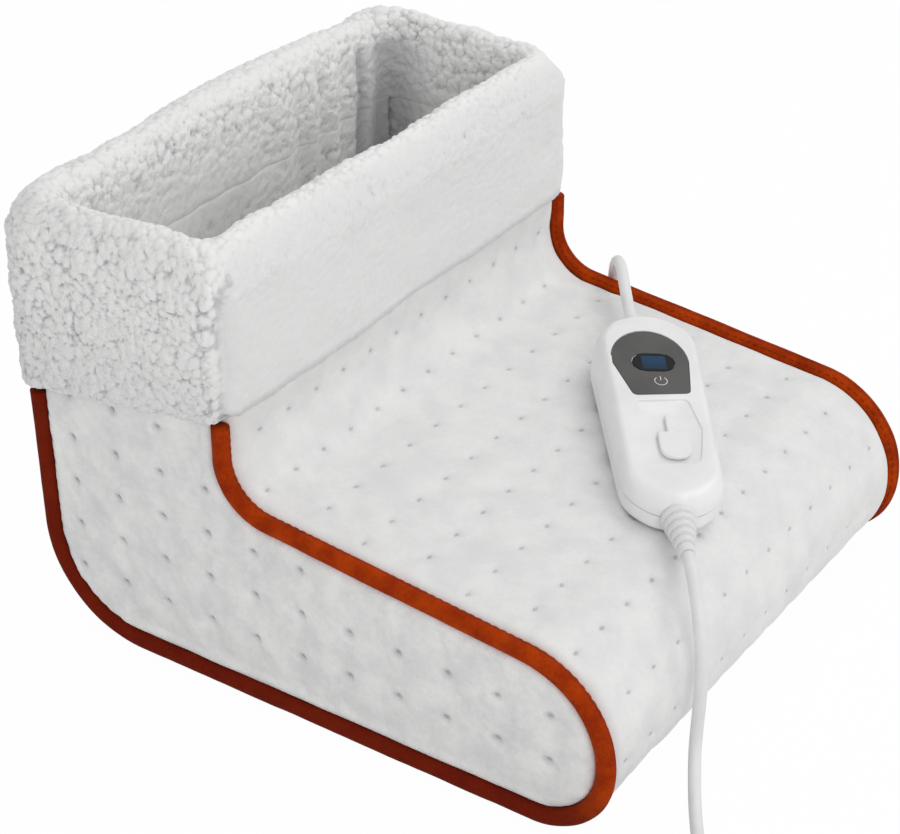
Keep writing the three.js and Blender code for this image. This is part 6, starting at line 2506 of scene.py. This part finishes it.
class HeatedSole:
    """The heating layers inside the sole, carried over with their finishes."""

    def build(self) -> None:
        """Dresses the layers."""
        WARDROBE.redress(Finishes.FOAM, "insole_foam")
        WARDROBE.redress(Finishes.FELT, "heater_felt_lower", "heater_felt_upper")
        WARDROBE.redress(Finishes.WIRE, "heating_wire", "inner_lead")
        WARDROBE.redress(Finishes.DARK, "thermal_cutout_1", "thermal_cutout_2", "terminal_sleeve")


# Cords


LEAD_ROUTE = (
    (0.1798, 0.0582, 0.019), (0.192, 0.0582, 0.0186), (0.2055, 0.0546, 0.0166), (0.2152, 0.0448, 0.0134),
    (0.2186, 0.0316, 0.010), (0.2152, 0.0184, 0.0068), (0.2054, 0.0086, 0.0046), (0.192, 0.0051, 0.0036),
    (0.180, 0.0051, 0.0048), (0.169, 0.0051, 0.0092), (0.1602, 0.0051, 0.0174), (0.1548, 0.0051, 0.029),
    (0.1532, 0.0051, 0.043), (0.1532, 0.0051, 0.060), (0.1532, 0.0051, 0.078), (0.1532, 0.0051, 0.095),
    (0.152, 0.0043, 0.1068), (0.1478, 0.001, 0.116), (0.1406, -0.0046, 0.1218), (0.1319, -0.0114, 0.1236),
    (0.1238, -0.0177, 0.1219), (0.116, -0.0238, 0.1192), (0.1089, -0.0294, 0.117), (0.1034, -0.0337, 0.116),
    (0.0987, -0.0374, 0.1155),
)
MAINS_ROUTE = (
    (-0.052, -0.1558, 0.0995), (-0.0584, -0.1609, 0.0984), (-0.065, -0.1664, 0.0952),
    (-0.0708, -0.1716, 0.0894), (-0.075, -0.1758, 0.0806), (-0.0778, -0.1788, 0.070),
    (-0.0798, -0.1806, 0.058), (-0.0816, -0.1814, 0.046), (-0.084, -0.1822, 0.034), (-0.088, -0.184, 0.0234),
    (-0.0944, -0.1878, 0.0146), (-0.1034, -0.1934, 0.0084), (-0.115, -0.201, 0.005),
    (-0.129, -0.2106, 0.0044), (-0.143, -0.2206, 0.0048), (-0.156, -0.2298, 0.0052), (-0.165, -0.236, 0.0053),
)


@dataclass
class Cords:
    """The lead to the hand control, the mains cord, its coil, tie and plug."""

    radius: float = 0.0031
    spacing: float = 0.0022
    coil_start: Triple = (-0.1653, -0.2362, 0.0053)
    coil_heading: float = math.radians(-145.5)
    coil_lead: float = 0.0064
    coil_inner: float = 0.024
    coil_pitch: float = 0.007
    coil_layer: float = 0.007
    turns_in: float = 3.0
    turns_out: float = 3.25
    loop_steps: int = 48
    tail_length: float = 0.034
    plug_height: float = 0.0078

    def coil(self) -> Points:
        """The wound part of the mains cord and its straight end.

        Returns:
            Points of its centreline.
        """
        across, along = math.cos(self.coil_heading), math.sin(self.coil_heading)
        start = np.array(self.coil_start) + np.array([across, along, 0.0]) * self.coil_lead
        outer = self.coil_inner + self.coil_pitch * self.turns_in
        centre = start + np.array([along, -across, 0.0]) * outer
        whole = self.turns_in + self.turns_out
        turns = np.linspace(-self.turns_in, self.turns_out, round(whole * self.loop_steps) + 1)
        angle = self.coil_heading + math.pi / 2 - 2 * math.pi * turns
        radius = self.coil_inner + self.coil_pitch * np.abs(turns)
        climb = self.coil_layer * smooth_step(turns, -0.25, 0.25)
        wound = np.stack([np.cos(angle) * radius, np.sin(angle) * radius, climb], axis=1) + centre
        heading = self.coil_heading - 2 * math.pi * whole
        way = np.array([math.cos(heading), math.sin(heading), 0.0])
        shares = np.linspace(0, 1, 16)[1:]
        tail = wound[-1] + way * (self.tail_length * shares)[:, None]
        tail[:, 2] = wound[-1][2] + (self.plug_height - wound[-1][2]) * smooth_step(shares, 0.0, 0.8)
        return np.concatenate([wound, tail])

    def curve(self, name: str, path: Points, *nodes: str) -> Piece:
        """A round cord as a curve of one open line.

        Args:
            name: The piece's name.
            path: Points of its centreline.
            nodes: CAD nodes that it stands for.

        Returns:
            The piece.
        """
        data = bpy.data.curves.new(name, "CURVE")
        data.dimensions = "3D"
        line = data.splines.new("POLY")
        line.points.add(len(path) - 1)
        line.points.foreach_set("co", np.column_stack([path, np.ones(len(path))]).reshape(-1))
        line.use_smooth = True
        data.bevel_depth = self.radius
        data.bevel_resolution = 4
        data.use_fill_caps = True
        return WARDROBE.dress(linked(name, data), Finishes.RUBBER, "cord_rubber", *nodes)

    def build(self, control: HandControl) -> None:
        """Args:
            control: The hand control that both cords leave.
        """
        path = smooth_route(LEAD_ROUTE, self.spacing)
        lead = self.curve("control_lead", path, "lead_cord")
        path = np.concatenate([smooth_route(MAINS_ROUTE, self.spacing), self.coil()])
        mains = self.curve("mains_lead", path, "mains_cord", "cord_coil")
        plug = control.smooth_copy("plug_body", Finishes.RUBBER, 40.0, "cord_rubber")
        tie = control.smooth_copy("cord_tie", Finishes.DARK, 40.0, "dark_plastic")
        pins = [control.smooth_copy(f"plug_pin_{i}", Finishes.METAL, 40.0, "bright_metal") for i in (1, 2)]


# Studio


@dataclass
class Studio:
    """Camera, lamps, floor and background."""

    spot: Triple = (-0.84247, -0.55924, 0.70934)
    forward: Triple = (0.70791, 0.47775, -0.52021)
    roll: float = math.radians(-0.030)
    lens: float = 94.56
    sensor: float = 36.0
    floor_size: float = 6.0
    floor_drop: float = 0.0004
    floor_glow: float = 0.975
    lamp_size: float = 0.9
    lamp_aim: Triple = (0.0, 0.0, 0.08)
    key: Triple = (0.9, -0.5, 1.6)
    key_power: float = 6.8
    fill: Triple = (-1.15, -1.4, 1.0)
    fill_power: float = 8.3
    ambient: float = 0.61

    def camera(self) -> None:
        """Sets the camera to the photograph's angle."""
        data = bpy.data.cameras.new("camera")
        data.lens = self.lens
        data.sensor_width = self.sensor
        data.sensor_fit = "HORIZONTAL"
        data.clip_start, data.clip_end = 0.01, 50.0
        ahead = Vector(self.forward).normalized()
        right = ahead.cross(Vector((0, 0, 1))).normalized()
        up = right.cross(ahead)
        c, s = math.cos(self.roll), math.sin(self.roll)
        turn = Matrix((right * c - up * s, right * s + up * c, -ahead)).transposed().to_4x4()
        camera = linked("camera", data)
        camera.matrix_world = Matrix.Translation(self.spot) @ turn
        bpy.context.scene.camera = camera

    def lamp(self, name: str, place: Triple, power: float) -> None:
        """A soft square lamp that points at the object.

        Args:
            name: Its name.
            place: Where it hangs.
            power: Its power in watts.
        """
        data = bpy.data.lights.new(name, "AREA")
        data.shape = "SQUARE"
        data.size = self.lamp_size
        data.energy = power
        turn = (Vector(self.lamp_aim) - Vector(place)).to_track_quat("-Z", "Y").to_matrix().to_4x4()
        linked(name, data).matrix_world = Matrix.Translation(place) @ turn

    def two_sided(self, s: Nodes, output: str, share: float, hidden: Socket, seen: Socket) -> None:
        """Ends a tree with one look for the camera and another for the light.

        Args:
            s: The tree's builder.
            output: Type of its output node.
            share: How much of the seen look the camera gets.
            hidden: Look for the rays that light the object.
            seen: Look for the camera, for mirrors and through glass.
        """
        rays = s.node("ShaderNodeLightPath").outputs
        clear = s.maths("MAXIMUM", rays["Is Glossy Ray"], rays["Is Transmission Ray"])
        chosen = s.node("ShaderNodeMixShader")
        by_ray = s.times(s.maths("MAXIMUM", rays["Is Camera Ray"], clear), share)
        for i, look in enumerate((by_ray, hidden, seen)):
            s.feed(chosen.inputs[i], look)
        s.node(output, Surface=chosen.outputs[0])

    def world(self) -> None:
        """Even light all round, and plain white behind the object."""
        world = bpy.data.worlds.new("studio")
        world.use_nodes = True
        bpy.context.scene.world = world
        s = Nodes(world.node_tree)
        looks = [
            s.node("ShaderNodeBackground", Color=(1, 1, 1, 1), Strength=strength).outputs[0]
            for strength in (self.ambient, 1.0)
        ]
        self.two_sided(s, "ShaderNodeOutputWorld", 1.0, *looks)

    def floor(self) -> None:
        """A pale floor that keeps the object's shadow."""
        half, z = self.floor_size / 2, -self.floor_drop
        corners = np.array([[-half, -half, z], [half, -half, z], [half, half, z], [-half, half, z]])
        floor = make_piece("studio_floor", corners, [range(4)])
        material = bpy.data.materials.new("studio_floor")
        material.use_nodes = True
        s = Nodes(material.node_tree)
        matte = s.node("ShaderNodeBsdfDiffuse", Color=(0.9, 0.9, 0.9, 1)).outputs[0]
        bright = s.node("ShaderNodeEmission", Color=(1, 1, 1, 1), Strength=1.0).outputs[0]
        self.two_sided(s, "ShaderNodeOutputMaterial", self.floor_glow, matte, bright)
        floor.data.materials.append(material)

    def build(self) -> None:
        """Sets up the whole studio."""
        self.camera()
        self.lamp("key_lamp", self.key, self.key_power)
        self.lamp("fill_lamp", self.fill, self.fill_power)
        self.world()
        self.floor()
        bpy.context.scene.view_settings.view_transform = "Standard"
        log.info("studio: camera, two lamps, world and floor")


def main() -> None:
    """Builds the studio and every part of the foot warmer in order."""
    logging.basicConfig(level=logging.INFO, format="%(name)s: %(message)s")
    Studio().build()
    control = HandControl()
    Cords().build(control)
    control.build()
    Shell().build()
    Collar().build()
    lining = Lining()
    lining.build()
    lining.sole()
    HeatedSole().build()


if __name__ == "__main__":
    main()
